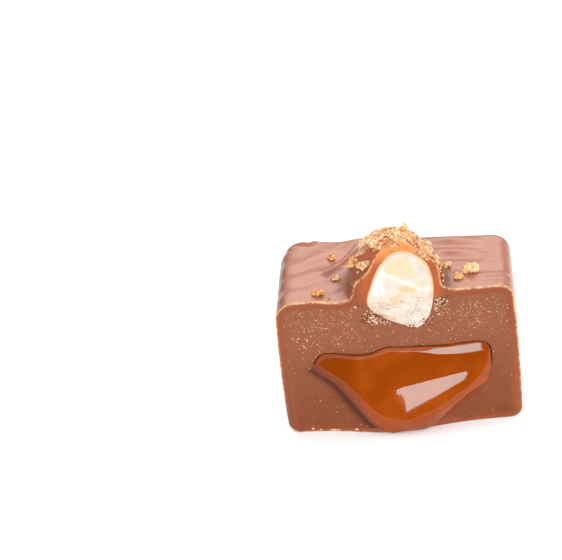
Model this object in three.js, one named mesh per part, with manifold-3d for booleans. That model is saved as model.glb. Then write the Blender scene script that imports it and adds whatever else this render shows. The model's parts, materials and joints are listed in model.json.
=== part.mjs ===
// Half of an enrobed chocolate, cut straight down: a milk chocolate coating with a mound on top,
// a smooth nut filling inside it, a hazelnut standing in the mound and a core of soft caramel
// that sags out of the cut. Millimetres, +Z up, the cut facing -Y, the base on Z = 0. The pieces
// are shaped with the cut on Y = 0, then the whole is moved to stand centred on the origin.
import * as THREE from 'three';
import { mergeVertices } from 'three/addons/utils/BufferGeometryUtils.js';
import Module from 'manifold-3d';

const wasm = await Module();
wasm.setup();

// ---- driving dimensions -------------------------------------------------------------------

const CENTRED = [0.2, -8.53, 0]; // where the middle of the cut's foot stands

const LEFT_X = -15.5; // flat sides of the block
const RIGHT_X = 15.1;
const SIDE_BOW = { swell: 0.25, from: 10, over: 4 }; // how far each side swells at half height
const DEPTH = 18.4; // from the cut to the back, at x = 0
const BACK_SLANT = 0.13; // the back is this much nearer for each millimetre to the right
const TOP_Z = 19.4; // flat part of the top
const TOP_RISE = 0.012; // and its rise for each millimetre to the right
const DISH = { x: -7.2, depth: 0.45, width: 2.4 }; // shallow dip beside the mound

const EDGE = { // radii of the block's edges, across and up
  topLeft: [2.5, 2.1],
  topRight: [1.7, 1.5],
  bottomRight: [1.7, 1.5],
  bottomLeft: [1.6, 1.4],
};
const BACK_EDGE = { left: 4.8, right: 3.2, top: 2.3, bottom: 1.4 }; // radii round the back
const BACK_CROWN = 0.25; // how far the middle of the back stands out
const SHARPEST = 0.4; // no edge is sharper than this radius

const SAG = { x: -1.5, width: 7, forward: 1.9, back: 0.45, height: 7, reach: 3 }; // foot of the cut

const MOUND = { x: 0.9, height: 7.5, straight: 2.6, right: 5.1, left: 6.15, back: 7.4 };
const MOUND_LEAN = 0.09; // its crest falls this much for each millimetre behind the cut
const MOUND_SHOULDER = { wider: 0.6, within: 2.6 }; // its left side fills out behind the cut
// Waves blown into the top while it was wet, running across it and back from the mound.
const RIPPLE = { height: 0.13, length: 4.1, calm: 7, right: 0.05, left: -0.42 };

const NO_INSET = { left: 0, right: 0, top: 0, bottom: 0, back: 0 };
const COAT = { left: 0.85, right: 0.8, top: 0.9, bottom: 0.55, back: 0.9 }; // wall thicknesses
const GAP = 0.15; // clearance between touching pieces

const NUT = { x: 0.9, z: 20.1, depth: 7.3, girth: 1.4 }; // centre, depth and where it is widest
const CARAMEL = { x: 0.8, z: 7.2, depth: 10.5, floor: 1.5, tuck: 0.75, fullness: 2.4 };
// The lip that sags out of the cut: how thick it is at its top left, how much thicker it gets
// for each millimetre to the right, and how much thicker it hangs at its foot.
const LIP = { left: -11, foot: 1.2, top: 11.6, thin: 0.3, thicken: 0.035, hang: 1.35, curve: 1.6 };
const LIP_RIM = { width: 1.35, from: 3, over: 12, least: 0.45 }; // the rim narrows upwards

// Bits of toasted nut on the coat: how uneven they are, how they sit, and their sizes.
const CRUMB = { dent: 0.8, bump: 1.25, stretch: 0.25, flat: 0.8, lift: 0.14, least: 0.65, most: 1.15 };
const CRUMB_SEED = 7;
const CLEAR_OF_CUT = 0.9; // crumbs keep this far behind the cut
const SINGLE_CRUMBS = [ // x, distance behind the cut, size
  [-8.4, 12, 1.3], [-7.6, 5.3, 1.3], [-9.9, 1.6, 1.5], [6.9, 7.3, 1.3], [9.8, 5.2, 2],
  [8.3, 3.5, 1.2]];
const CRUMB_PATCHES = [ // x and distance of the middle, spread of each, count
  { x: -1.6, behind: 3.4, wide: 2.4, deep: 1.3, count: 15 },
  { x: 1.8, behind: 3.6, wide: 1.9, deep: 1.2, count: 9 },
  { x: 4, behind: 2.4, wide: 1, deep: 1.1, count: 8 },
  { x: 6.4, behind: 3.6, wide: 0.5, deep: 1.2, count: 4 },
  { x: -5.6, behind: 7, wide: 0.5, deep: 1.5, count: 5 },
  { x: -4.6, behind: 3.6, wide: 0.5, deep: 0.9, count: 3 }];

const FRONT = 3; // cutting shapes reach this far out of the cut
const OUTER_STEPS = { corner: 3, side: 4, bottom: 8, top: 46, along: 14, round: 6, face: 1 };
const INNER_STEPS = { corner: 3, side: 4, bottom: 8, top: 20, along: 6, round: 5, face: 2 };
const NUT_STEPS = { around: 30, along: 9 };
const CARAMEL_STEPS = { around: 48, along: 8, face: 3 };

// ---- outlines and profiles ----------------------------------------------------------------

// Mound height against distance from its axis, both as shares of the full height and radius.
const MOUND_RIGHT = [[0, 1], [0.18, 0.985], [0.37, 0.905], [0.72, 0.685], [0.9, 0.56],
  [0.985, 0.45], [1.005, 0.33], [1.02, 0.15], [1.08, 0.075], [1.3, 0.01], [1.55, 0]];
const MOUND_LEFT = [[0, 1], [0.17, 0.98], [0.32, 0.88], [0.51, 0.685], [0.66, 0.47], [0.78, 0.39],
  [0.93, 0.3], [0.985, 0.22], [1.03, 0.1], [1.12, 0.02], [1.3, 0], [1.6, 0]];
const MOUND_BACK = [[0, 1], [0.3, 0.975], [0.55, 0.88], [0.75, 0.69], [0.9, 0.44], [1, 0.23],
  [1.1, 0.1], [1.3, 0.02], [1.6, 0]];

// The lip's rim, from its seat on the cut to its full thickness: share of the way in, of the way out.
const RIM_CURVE = [[0.02, 0.12], [0.16, 0.3], [0.5, 0.6], [1, 1]];

// The nut's cut face and the caramel's lip, as smooth closed curves through these x, z.
const NUT_FACE = [[-3.6, 18.3], [-2.9, 21.1], [-1.4, 24], [0.3, 25.5], [2.3, 25.5], [4.3, 24],
  [5.1, 21.6], [5, 18.8], [4.1, 15.9], [2.6, 14.5], [0.7, 15.1], [-1.9, 16.4]];
const CARAMEL_LIP = [[-11.1, 9.9], [-10.9, 11], [-9.8, 11.6], [-7.8, 11.2], [-5.5, 10.8],
  [-2.9, 11], [0, 11.7], [4.2, 11.65], [8, 11.7], [10.4, 11.95], [11.4, 11.2], [11.7, 8.6],
  [11.2, 6.5], [8.4, 4], [5.6, 2], [3.6, 0.6], [2, 0.15], [-2.4, 0.15], [-4.1, 0.9],
  [-6.3, 4.1], [-8, 7], [-9.6, 8.7]];

// ---- small tools --------------------------------------------------------------------------

const clamp = (value, low, high) => Math.min(high, Math.max(low, value));
const mix = (a, b, t) => a + (b - a) * t;
const smoothStep = (t) => clamp(t, 0, 1) ** 2 * (3 - 2 * clamp(t, 0, 1));

// A smooth curve through rising points that never swings past them.
function profile(points) {
  const slope = points.slice(1).map(([x, y], i) => (y - points[i][1]) / (x - points[i][0]));
  const tangent = points.map((_, i) => {
    if (i === 0 || i === points.length - 1) return 0;
    const before = slope[i - 1];
    const after = slope[i];
    return before * after <= 0 ? 0 : 2 * before * after / (before + after);
  });
  return (x) => {
    if (x >= points.at(-1)[0]) return points.at(-1)[1];
    const i = Math.max(0, points.findIndex(([px]) => px > x) - 1);
    const span = points[i + 1][0] - points[i][0];
    const t = (x - points[i][0]) / span;
    const bend = t * t * (3 - 2 * t);
    return mix(points[i][1], points[i + 1][1], bend)
      + span * t * (1 - t) * ((1 - t) * tangent[i] - t * tangent[i + 1]);
  };
}

const moundRight = profile(MOUND_RIGHT);
const moundLeft = profile(MOUND_LEFT);
const moundBack = profile(MOUND_BACK);

// How much a wall has turned in where an edge of this radius rounds the back.
function roundOff(distance, end, radius) {
  const past = clamp(distance - (end - radius), 0, radius);
  return radius - Math.sqrt(radius * radius - past * past);
}

// Even steps, packed towards the end of the range.
function stations(from, to, count) {
  return Array.from({ length: count }, (_, i) => mix(from, to, Math.sin(Math.PI / 2 * i / (count - 1))));
}

// ---- surfaces -----------------------------------------------------------------------------

// Height of the mound above the flat top, at x and this far behind the cut.
function mound(x, behind) {
  const across = x - MOUND.x;
  const along = Math.max(0, behind - MOUND.straight);
  const filled = smoothStep(behind / MOUND_SHOULDER.within);
  const left = MOUND.left + MOUND_SHOULDER.wider * filled;
  const side = across > 0 ? across / MOUND.right : across / left;
  const reach = Math.hypot(side, along / MOUND.back);
  if (reach === 0) return MOUND.height - MOUND_LEAN * behind;
  const towardsBack = (along / MOUND.back / reach) ** 2;
  const flank = across > 0 ? moundRight(reach) : mix(moundLeft(reach), moundRight(reach), filled);
  const shape = mix(flank, moundBack(reach), towardsBack);
  return shape * (MOUND.height - MOUND_LEAN * behind);
}

function ripple(x, behind) {
  const awake = 1 - Math.exp(-(((x - MOUND.x) / RIPPLE.calm) ** 2));
  const across = x > 0 ? RIPPLE.right * x : RIPPLE.left * x;
  return RIPPLE.height * awake * Math.sin(2 * Math.PI * (behind + across) / RIPPLE.length);
}

// The block's top without the mound: nearly flat, dipping beside the mound.
function flatTop(x) {
  const dip = DISH.depth * Math.exp(-(((x - DISH.x) / DISH.width) ** 2));
  return TOP_Z + TOP_RISE * x - dip;
}

const outerTop = (x, behind) => flatTop(x) + mound(x, behind) + ripple(x, behind);

// The cut face's lower part bulges forward where the caramel has pushed it out.
function sag(x, z, behind) {
  const low = Math.max(0, 1 - z / SAG.height) ** 2;
  const near = Math.max(0, 1 - behind / SAG.reach) ** 2;
  return low * near * (SAG.forward * Math.exp(-(((x - SAG.x) / SAG.width) ** 2)) - SAG.back);
}

// A point of the block at x, z, and this far behind the cut.
function place(x, z, behind) {
  const slanted = behind * (1 - BACK_SLANT * x / DEPTH);
  return [x, slanted - sag(x, z, behind), z];
}

// A point this far in front of the cut face.
function onCut(x, z, forward) {
  const [, y] = place(x, z, 0);
  return [x, y - forward, z];
}

// ---- the block's section, a closed ring of points -----------------------------------------

// Quarter of an ellipse, from this many quarter turns on.
function corner(cx, cz, [rx, rz], quarter, steps) {
  return Array.from({ length: steps + 1 }, (_, i) => {
    const angle = Math.PI / 2 * (quarter + i / steps);
    return [cx + rx * Math.cos(angle), cz + rz * Math.sin(angle)];
  });
}

// Points along the top from right to left, closest together where the curve is steep.
function topLine(height, right, left, count) {
  const fine = 700;
  const weight = 0.8; // of a rise, against a run
  const points = Array.from({ length: fine + 1 }, (_, i) => {
    const x = mix(right, left, i / fine);
    return [x, height(x)];
  });
  const run = [0];
  points.slice(1).forEach(([x, z], i) => {
    run.push(run[i] + Math.hypot(x - points[i][0], weight * (z - points[i][1])));
  });
  const result = [];
  let i = 0;
  for (let k = 1; k < count; k += 1) {
    const target = run.at(-1) * k / count;
    while (run[i + 1] < target) i += 1;
    const t = (target - run[i]) / (run[i + 1] - run[i]);
    result.push([mix(points[i][0], points[i + 1][0], t), mix(points[i][1], points[i + 1][1], t)]);
  }
  return result;
}

// Section of the block this far behind the cut, all walls moved inwards by inset, which is a
// wall thickness for each side. Counter-clockwise seen from the cut, from the bottom left.
function section(behind, inset, top, steps) {
  const end = DEPTH - inset.back;
  const turn = (radius) => roundOff(behind, end, Math.max(SHARPEST, radius - inset.back));
  const left = LEFT_X + inset.left + turn(BACK_EDGE.left);
  const right = RIGHT_X - inset.right - turn(BACK_EDGE.right);
  const low = inset.bottom + turn(BACK_EDGE.bottom);
  const lowered = inset.top + turn(BACK_EDGE.top);
  const height = (x) => top(x, behind) - lowered;
  const radii = ([rx, rz]) => [
    Math.max(SHARPEST, rx - inset.left), Math.max(SHARPEST, rz - inset.top)];
  const [br, bl, tr, tl] = [EDGE.bottomRight, EDGE.bottomLeft, EDGE.topRight, EDGE.topLeft].map(radii);
  const rightTop = height(right - tr[0]);
  const leftTop = height(left + tl[0]);
  const bow = (x, z) => {
    const middle = Math.sin(Math.PI * clamp(z / TOP_Z, 0, 1));
    const outer = clamp((Math.abs(x) - SIDE_BOW.from) / SIDE_BOW.over, 0, 1);
    return x + Math.sign(x) * SIDE_BOW.swell * middle * outer;
  };
  const side = (x, from, to) => Array.from({ length: steps.side - 1 }, (_, i) => [
    x, mix(from, to, (i + 1) / steps.side)]);
  const bottom = Array.from({ length: steps.bottom - 1 }, (_, i) => [
    mix(left + bl[0], right - br[0], (i + 1) / steps.bottom), low]);
  return [
    ...corner(left + bl[0], low + bl[1], bl, 2, steps.corner),
    ...bottom,
    ...corner(right - br[0], low + br[1], br, 3, steps.corner),
    ...side(right, low + br[1], rightTop - tr[1]),
    ...corner(right - tr[0], rightTop - tr[1], tr, 0, steps.corner),
    ...topLine(height, right - tr[0], left + tl[0], steps.top),
    ...corner(left + tl[0], leftTop - tl[1], tl, 1, steps.corner),
    ...side(left, leftTop - tl[1], low + bl[1]),
  ].map(([x, z]) => [bow(x, z), z]);
}

// Rings that shrink from a section to its middle, for a flat or crowned end.
function capRings(ring, count, at) {
  const cx = ring.reduce((sum, [x]) => sum + x, 0) / ring.length;
  const cz = ring.reduce((sum, [, z]) => sum + z, 0) / ring.length;
  return Array.from({ length: count }, (_, i) => {
    const size = 1 - (i + 1) / (count + 1);
    return ring.map(([x, z]) => at(mix(cx, x, size), mix(cz, z, size), 1 - size));
  }).concat([[at(cx, cz, 1)]]);
}

// ---- solids from rings --------------------------------------------------------------------

// A closed surface through rings of points. The first and last rings are single points.
function loft(rings) {
  const positions = rings.flat(2);
  const index = [];
  let start = 0;
  for (let r = 0; r + 1 < rings.length; r += 1) {
    const count = Math.max(rings[r].length, rings[r + 1].length);
    const next = start + rings[r].length;
    const here = (k) => start + (rings[r].length === 1 ? 0 : k % count);
    const there = (k) => next + (rings[r + 1].length === 1 ? 0 : k % count);
    for (let k = 0; k < count; k += 1) {
      if (rings[r + 1].length > 1) index.push(here(k), there(k), there(k + 1));
      if (rings[r].length > 1) index.push(here(k), there(k + 1), here(k + 1));
    }
    start = next;
  }
  const geometry = new THREE.BufferGeometry();
  geometry.setAttribute('position', new THREE.Float32BufferAttribute(positions, 3));
  geometry.setIndex(index);
  return geometry;
}

function toSolid(geometry) {
  geometry.deleteAttribute('normal');
  geometry.deleteAttribute('uv');
  const merged = mergeVertices(geometry, 1e-4);
  const mesh = new wasm.Mesh({
    numProp: 3,
    vertProperties: new Float32Array(merged.attributes.position.array),
    triVerts: new Uint32Array(merged.index.array),
  });
  return new wasm.Manifold(mesh);
}

// The largest body alone, without loose scraps and without hollows that joining has sealed.
function oneBody(solid) {
  return solid.decompose().reduce((best, body) => (body.volume() > best.volume() ? body : best));
}

function toMesh(name, solid, material) {
  const { vertProperties, triVerts } = solid.getMesh();
  const geometry = new THREE.BufferGeometry();
  geometry.setAttribute('position', new THREE.BufferAttribute(vertProperties, 3));
  geometry.setIndex(new THREE.BufferAttribute(triVerts, 1));
  geometry.computeVertexNormals();
  const mesh = new THREE.Mesh(geometry, material);
  mesh.name = name;
  return mesh;
}

// ---- the pieces ---------------------------------------------------------------------------

// A block whose walls are inset, from the cut plus a little in front of it to its back.
function block(inset, top, steps, front) {
  const end = DEPTH - inset.back;
  const straight = end - BACK_EDGE.left;
  const rows = Array.from({ length: steps.along }, (_, i) => straight * i / steps.along);
  const all = [...rows, ...stations(straight, end, steps.round)];
  const sections = all.map((behind) => ({ behind, ring: section(behind, inset, top, steps) }));
  const rings = sections.map(({ behind, ring }) => ring.map(([x, z]) => place(x, z, behind)));
  const crown = (x, z, size) => place(x, z, end + BACK_CROWN * (1 - (1 - size) ** 2));
  const face = (x, z) => onCut(x, z, front);
  if (front > 0) rings.unshift(sections[0].ring.map(([x, z]) => face(x, z)));
  const frontCap = capRings(sections[0].ring, steps.face, face).reverse();
  return toSolid(loft([...frontCap, ...rings, ...capRings(sections.at(-1).ring, 2, crown)]));
}

// Evenly spaced points on the smooth closed curve through these, counter-clockwise from the cut.
function smooth(points, count) {
  const corners = points.map(([x, z]) => new THREE.Vector3(x, 0, z));
  const curve = new THREE.CatmullRomCurve3(corners, true, 'centripetal');
  return curve.getSpacedPoints(count).slice(0, count).reverse().map(({ x, z }) => [x, z]);
}

// The same outline moved away from a centre, or towards it where the distance is negative.
function spread(outline, centre, distance) {
  return outline.map(([x, z]) => {
    const away = Math.hypot(x - centre.x, z - centre.z);
    const size = 1 + distance / away;
    return [mix(centre.x, x, size), mix(centre.z, z, size)];
  });
}

// The nut: its cut face swept back and rounded off. Grown by a clearance it cuts its own pocket.
function nut(clearance, front) {
  const depth = NUT.depth + clearance;
  const widest = Math.sqrt(1 - (NUT.girth / depth) ** 2);
  const face = spread(smooth(NUT_FACE, NUT_STEPS.around), NUT, clearance);
  const ringAt = (behind, size) => face.map(([x, z]) => [
    mix(NUT.x, x, size), behind, mix(NUT.z, z, size)]);
  const sizeAt = (behind) => {
    const share = (behind - NUT.girth) / (depth - NUT.girth);
    return Math.sqrt(Math.max(0, 1 - share * share)) / widest;
  };
  const depths = stations(0, depth, NUT_STEPS.along).slice(0, -1);
  const rings = depths.map((behind) => ringAt(behind, sizeAt(behind)));
  if (front > 0) rings.unshift(ringAt(-front, 1));
  return toSolid(loft([[[NUT.x, -front, NUT.z]], ...rings, [[NUT.x, depth, NUT.z]]]));
}

// How thick the caramel's lip is, out from the cut face.
function lipThickness(x, z) {
  const down = 1 - clamp((z - LIP.foot) / (LIP.top - LIP.foot), 0, 1);
  return LIP.thin + LIP.thicken * (x - LIP.left) * (1 - down) + LIP.hang * down ** LIP.curve;
}

// The core's outline at the cut: the lip's, tucked in and kept off the base.
function coreOutline(clearance) {
  const lip = smooth(CARAMEL_LIP, CARAMEL_STEPS.around);
  return spread(lip, CARAMEL, clearance - CARAMEL.tuck)
    .map(([x, z]) => [x, Math.max(CARAMEL.floor - clearance, z)]);
}

// Rings of the core, from its back point to the cut.
function coreRings(clearance) {
  const depth = CARAMEL.depth + clearance;
  const outline = coreOutline(clearance);
  const depths = stations(0, depth, CARAMEL_STEPS.along).slice(0, -1).reverse();
  return [[[CARAMEL.x, depth, CARAMEL.z]], ...depths.map((behind) => {
    const size = Math.sqrt(1 - (behind / depth) ** CARAMEL.fullness);
    return outline.map(([x, z]) => place(mix(CARAMEL.x, x, size), mix(CARAMEL.z, z, size), behind));
  })];
}

// The caramel: the core inside, and the lip that hangs over the cut face, a gap in front of it.
function caramel() {
  const lip = smooth(CARAMEL_LIP, CARAMEL_STEPS.around);
  const seat = (ring) => ring.map(([x, z]) => onCut(x, z, GAP));
  const rim = RIM_CURVE.map(([inwards, outwards]) => lip.map(([x, z]) => {
    const narrow = clamp(1 - (z - LIP_RIM.from) / LIP_RIM.over, LIP_RIM.least, 1);
    const [[px, pz]] = spread([[x, z]], CARAMEL, -inwards * LIP_RIM.width * narrow);
    return onCut(px, pz, GAP + outwards * lipThickness(px, pz));
  }));
  const edge = rim.at(-1).map(([x, , z]) => [x, z]);
  const front = capRings(edge, CARAMEL_STEPS.face, (x, z) => onCut(x, z, GAP + lipThickness(x, z)));
  const rings = [...coreRings(0), seat(coreOutline(0)), seat(lip), ...rim, ...front];
  return toSolid(loft(rings.reverse()));
}

// The pocket that the core lies in, open at the cut.
function caramelPocket() {
  const mouth = coreOutline(GAP).map(([x, z]) => [x, -FRONT, z]);
  return toSolid(loft([...coreRings(GAP), mouth, [[CARAMEL.x, -FRONT, CARAMEL.z]]].reverse()));
}

// ---- crumbs -------------------------------------------------------------------------------

// Seeded draws, so that the crumbs are the same each time.
function randomDraws(seed) {
  let state = seed;
  return () => {
    state = (state * 1664525 + 1013904223) % 4294967296;
    return state / 4294967296;
  };
}

// The way the coat faces at a point of the top.
function outward(x, behind) {
  const step = 0.05;
  const z = outerTop(x, behind);
  const slopes = [z - outerTop(x + step, behind), z - outerTop(x, behind + step)];
  return new THREE.Vector3(...slopes, step).normalize();
}

// A broken bit of toasted nut: an icosahedron with uneven corners, sunk a third into the coat.
function crumb(x, behind, size, draw) {
  const ball = new THREE.IcosahedronGeometry(size / 2, 0);
  ball.deleteAttribute('normal');
  ball.deleteAttribute('uv');
  const geometry = mergeVertices(ball);
  const corners = geometry.attributes.position;
  for (let i = 0; i < corners.count; i += 1) {
    const reach = mix(CRUMB.dent, CRUMB.bump, draw());
    corners.setXYZ(i, ...[corners.getX(i), corners.getY(i), corners.getZ(i)].map((c) => c * reach));
  }
  geometry.scale(1 + CRUMB.stretch * draw(), 1, CRUMB.flat);
  geometry.rotateZ(2 * Math.PI * draw());
  const up = new THREE.Vector3(0, 0, 1);
  const normal = outward(x, behind);
  geometry.applyQuaternion(new THREE.Quaternion().setFromUnitVectors(up, normal));
  const seat = new THREE.Vector3(...place(x, outerTop(x, behind), behind));
  seat.addScaledVector(normal, CRUMB.lift * size);
  geometry.translate(seat.x, seat.y, seat.z);
  return toSolid(geometry);
}

function crumbs() {
  const draw = randomDraws(CRUMB_SEED);
  const singles = SINGLE_CRUMBS.map(([x, behind, size]) => crumb(x, behind, size, draw));
  const scattered = CRUMB_PATCHES.flatMap(({ x, behind, wide, deep, count }) => (
    Array.from({ length: count }, () => {
      const across = x + wide * (draw() + draw() - 1);
      const along = Math.max(CLEAR_OF_CUT, behind + deep * (draw() + draw() - 1));
      return crumb(across, along, mix(CRUMB.least, CRUMB.most, draw()), draw);
    })));
  return [...singles, ...scattered];
}

// ---- assembly -----------------------------------------------------------------------------

const fillingInset = Object.fromEntries(Object.entries(COAT).map(([wall, size]) => [wall, size + GAP]));
const innerTop = (x, behind) => flatTop(x) + ripple(x, behind);

const cavity = block(COAT, innerTop, INNER_STEPS, FRONT).add(nut(GAP, FRONT));
const shell = block(NO_INSET, outerTop, OUTER_STEPS, 0).subtract(cavity);
const coating = oneBody(crumbs().reduce((whole, bit) => whole.add(bit), shell));

const body = block(fillingInset, innerTop, INNER_STEPS, 0);
const filling = body.subtract(nut(GAP, FRONT)).subtract(caramelPocket());

const milkChocolate = new THREE.MeshStandardMaterial({ color: 0xa8674c, roughness: 0.45, metalness: 0 });
const nutPaste = new THREE.MeshStandardMaterial({ color: 0xa06248, roughness: 0.75, metalness: 0 });
const kernel = new THREE.MeshStandardMaterial({ color: 0xf6ecd2, roughness: 0.6, metalness: 0 });
const softCaramel = new THREE.MeshStandardMaterial({ color: 0xb05310, roughness: 0.2, metalness: 0 });

const chocolate = new THREE.Group();
chocolate.add(toMesh('coating', coating, milkChocolate));
chocolate.add(toMesh('filling', filling, nutPaste));
chocolate.add(toMesh('hazelnut', nut(0, 0), kernel));
chocolate.add(toMesh('caramel', caramel(), softCaramel));
chocolate.position.set(...CENTRED);

const group = new THREE.Group();
group.add(chocolate);

export default group;
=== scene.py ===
"""Half of a filled chocolate, cut straight down, on a pale table.

The shapes are worked out in millimetres in the chocolate's own frame: x to the right along the cut,
"behind" back from the cut, z up from the table. Meshes are handed over in metres.
"""

import json
import math

import bmesh
import bpy
import numpy as np
from bpy.props import FloatProperty, FloatVectorProperty, IntProperty, PointerProperty
from mathutils import Matrix, Vector, geometry, noise

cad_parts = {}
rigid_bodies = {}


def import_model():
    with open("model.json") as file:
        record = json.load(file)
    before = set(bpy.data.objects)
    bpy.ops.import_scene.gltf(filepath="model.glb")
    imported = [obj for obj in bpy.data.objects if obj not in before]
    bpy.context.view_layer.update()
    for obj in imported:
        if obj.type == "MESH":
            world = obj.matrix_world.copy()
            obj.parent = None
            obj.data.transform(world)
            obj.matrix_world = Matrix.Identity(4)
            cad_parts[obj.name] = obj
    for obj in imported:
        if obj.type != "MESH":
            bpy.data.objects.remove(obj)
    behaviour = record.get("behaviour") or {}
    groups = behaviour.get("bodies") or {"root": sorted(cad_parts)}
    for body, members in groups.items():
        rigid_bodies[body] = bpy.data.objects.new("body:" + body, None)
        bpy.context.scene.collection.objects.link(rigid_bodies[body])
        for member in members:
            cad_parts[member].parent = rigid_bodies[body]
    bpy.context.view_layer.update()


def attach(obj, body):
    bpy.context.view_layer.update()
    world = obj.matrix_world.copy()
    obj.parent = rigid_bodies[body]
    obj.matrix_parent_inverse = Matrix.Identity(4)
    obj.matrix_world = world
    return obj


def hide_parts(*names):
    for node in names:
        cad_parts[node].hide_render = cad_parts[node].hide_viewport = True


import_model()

bl_info = {
    "name": "Filled chocolate",
    "version": (1, 0, 0),
    "blender": (4, 5, 0),
    "location": "3D View > Sidebar > Chocolate",
    "description": "Builds half of a filled chocolate with its crumbs, filling, nut and caramel",
    "category": "Add Mesh",
}

MM = 0.001
CENTRED = (0.2, -8.53, 0.0)  # where the middle of the cut's foot stands

# ---- sizes in millimetres ---------------------------------------------------------------------

LEFT_X, RIGHT_X = -15.5, 15.1
SIDE_BOW = {"swell": 0.25, "start": 10.0, "over": 4.0}
DEPTH = 18.4
BACK_SLANT = 0.13
TOP_Z = 19.4
TOP_RISE = 0.012
DISH = {"x": -7.2, "depth": 0.45, "width": 2.4}
EDGE = {"top_left": (2.5, 2.1), "top_right": (1.7, 1.5), "low_right": (1.7, 1.5), "low_left": (1.6, 1.4)}
BACK_EDGE = {"left": 4.8, "right": 3.2, "top": 2.3, "low": 1.4}
BACK_CROWN = 0.25
SHARPEST = 0.4
CUT_REACH = 3.0  # how far solids that are cut out stand in front of the cut
SAG = {"x": -1.5, "width": 7.0, "forward": 1.9, "back": 0.45, "height": 7.0, "reach": 3.0}

MOUND = {"x": 0.9, "height": 7.5, "straight": 2.6, "right": 5.1, "left": 6.15, "back": 7.4}
MOUND_LEAN = 0.09
MOUND_SHOULDER = {"wider": 0.6, "within": 2.6}
MOUND_RIGHT = [(0, 1), (0.18, 0.985), (0.37, 0.905), (0.72, 0.685), (0.9, 0.56), (0.985, 0.45),
               (1.005, 0.33), (1.02, 0.15), (1.08, 0.075), (1.3, 0.01), (1.55, 0)]
MOUND_LEFT = [(0, 1), (0.17, 0.98), (0.32, 0.88), (0.51, 0.685), (0.66, 0.47), (0.78, 0.39),
              (0.93, 0.3), (0.985, 0.22), (1.03, 0.1), (1.12, 0.02), (1.3, 0), (1.6, 0)]
MOUND_BACK = [(0, 1), (0.3, 0.975), (0.55, 0.88), (0.75, 0.69), (0.9, 0.44), (1, 0.23), (1.1, 0.1),
              (1.3, 0.02), (1.6, 0)]

WALL = {"left": 0.85, "right": 0.8, "top": 0.9, "low": 0.55, "back": 0.9}
NO_WALL = {"left": 0.0, "right": 0.0, "top": 0.0, "low": 0.0, "back": 0.0}

NUT = {"x": 0.9, "z": 20.1, "depth": 7.3, "girth": 1.4, "rim": 0.16}
NUT_FACE = [(-3.6, 18.3), (-2.9, 21.1), (-1.4, 24), (0.3, 25.5), (2.3, 25.5), (4.3, 24), (5.1, 21.6),
            (5, 18.8), (4.1, 15.9), (2.6, 14.5), (0.7, 15.1), (-1.9, 16.4)]

NUT_YELLOW = [(-0.35, 24.4), (1.3, 24.8), (2.5, 24.0), (2.9, 22.6), (2.4, 21.7), (0.8, 22.0), (-0.6, 22.6),
              (-0.35, 24.4)]
NUT_BAND = [(-1.4, 22.8), (-1.0, 22.3), (-0.1, 21.9), (1.0, 21.4), (2.3, 20.7), (3.6, 20.0), (5.2, 19.9)]
NUT_ROUGH_LINE = [(-3.6, 19.4), (-1.9, 19.0), (-0.4, 18.9), (1.4, 18.9), (3.0, 19.3), (5.2, 19.5)]

CARAMEL = {"x": 0.8, "z": 7.2, "depth": 10.5, "floor": 1.5, "tuck": 0.5, "fullness": 2.4}
# Round the caramel: x, z of its lip, x, z of the ridge where its face begins, and whether the lip
# hangs over the filling (1) or fits into it (0).
CARAMEL_EDGE = [
    (-11.4, 9.5, -10.65, 10.2, 0.3), (-10.95, 10.8, -10.75, 10.75, 0), (-10.1, 11.55, -10.05, 11.4, 0),
    (-8.65, 11.55, -8.7, 11.4, 0), (-5.5, 11.05, -5.5, 11, 0), (-3.6, 11.2, -3.55, 11.1, 0),
    (-1.7, 11.85, -1.6, 11.5, 0), (0.05, 11.75, 0.05, 11.38, 0), (2.65, 11.68, 2.6, 11.08, 0),
    (5.75, 11.56, 5.6, 10.56, 0), (8.85, 11.74, 8.8, 10.5, 0), (10.6, 11.72, 10.65, 10.3, 0),
    (11.45, 11.1, 11.1, 9.6, 0), (11.7, 8.75, 10.9, 8.5, 0.1), (11.2, 6.5, 9.4, 7, 0.8),
    (9.05, 4.6, 7.4, 5.6, 1), (5.7, 1.85, 4.6, 3.85, 1), (3, 0.15, 1.6, 2.7, 1), (0, 0.12, -0.7, 2.4, 1),
    (-2.6, 0.12, -2.7, 2.7, 1), (-4.6, 1.2, -4.4, 4, 1), (-6.75, 3.95, -6, 6.05, 1),
    (-8.95, 7.25, -7.9, 8.15, 1)]
# The parts of the lip where the caramel lies in its own shade, and where it is dull.
LOW_LEFT_EDGE = [CARAMEL_EDGE[0][:2]] + [p[:2] for p in CARAMEL_EDGE[:-6:-1]]
HIGH_LEFT_EDGE = [p[:2] for p in CARAMEL_EDGE[1:9]]
CARAMEL_FACE = {"top": 11.6, "left": -11.0, "thin": 0.05, "to_right": 0.02, "lean": 0.24, "round": 0.004}
# The face leans more below a slanting line, where it mirrors the window.
GLEAM = {"x": 0.0, "z": 6.7, "rise": 0.182, "lean": 0.17, "wide": 3.9, "narrow": 1.15,
         "left": (-2.6, 0.4), "right": (7.9, 9.2)}

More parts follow.
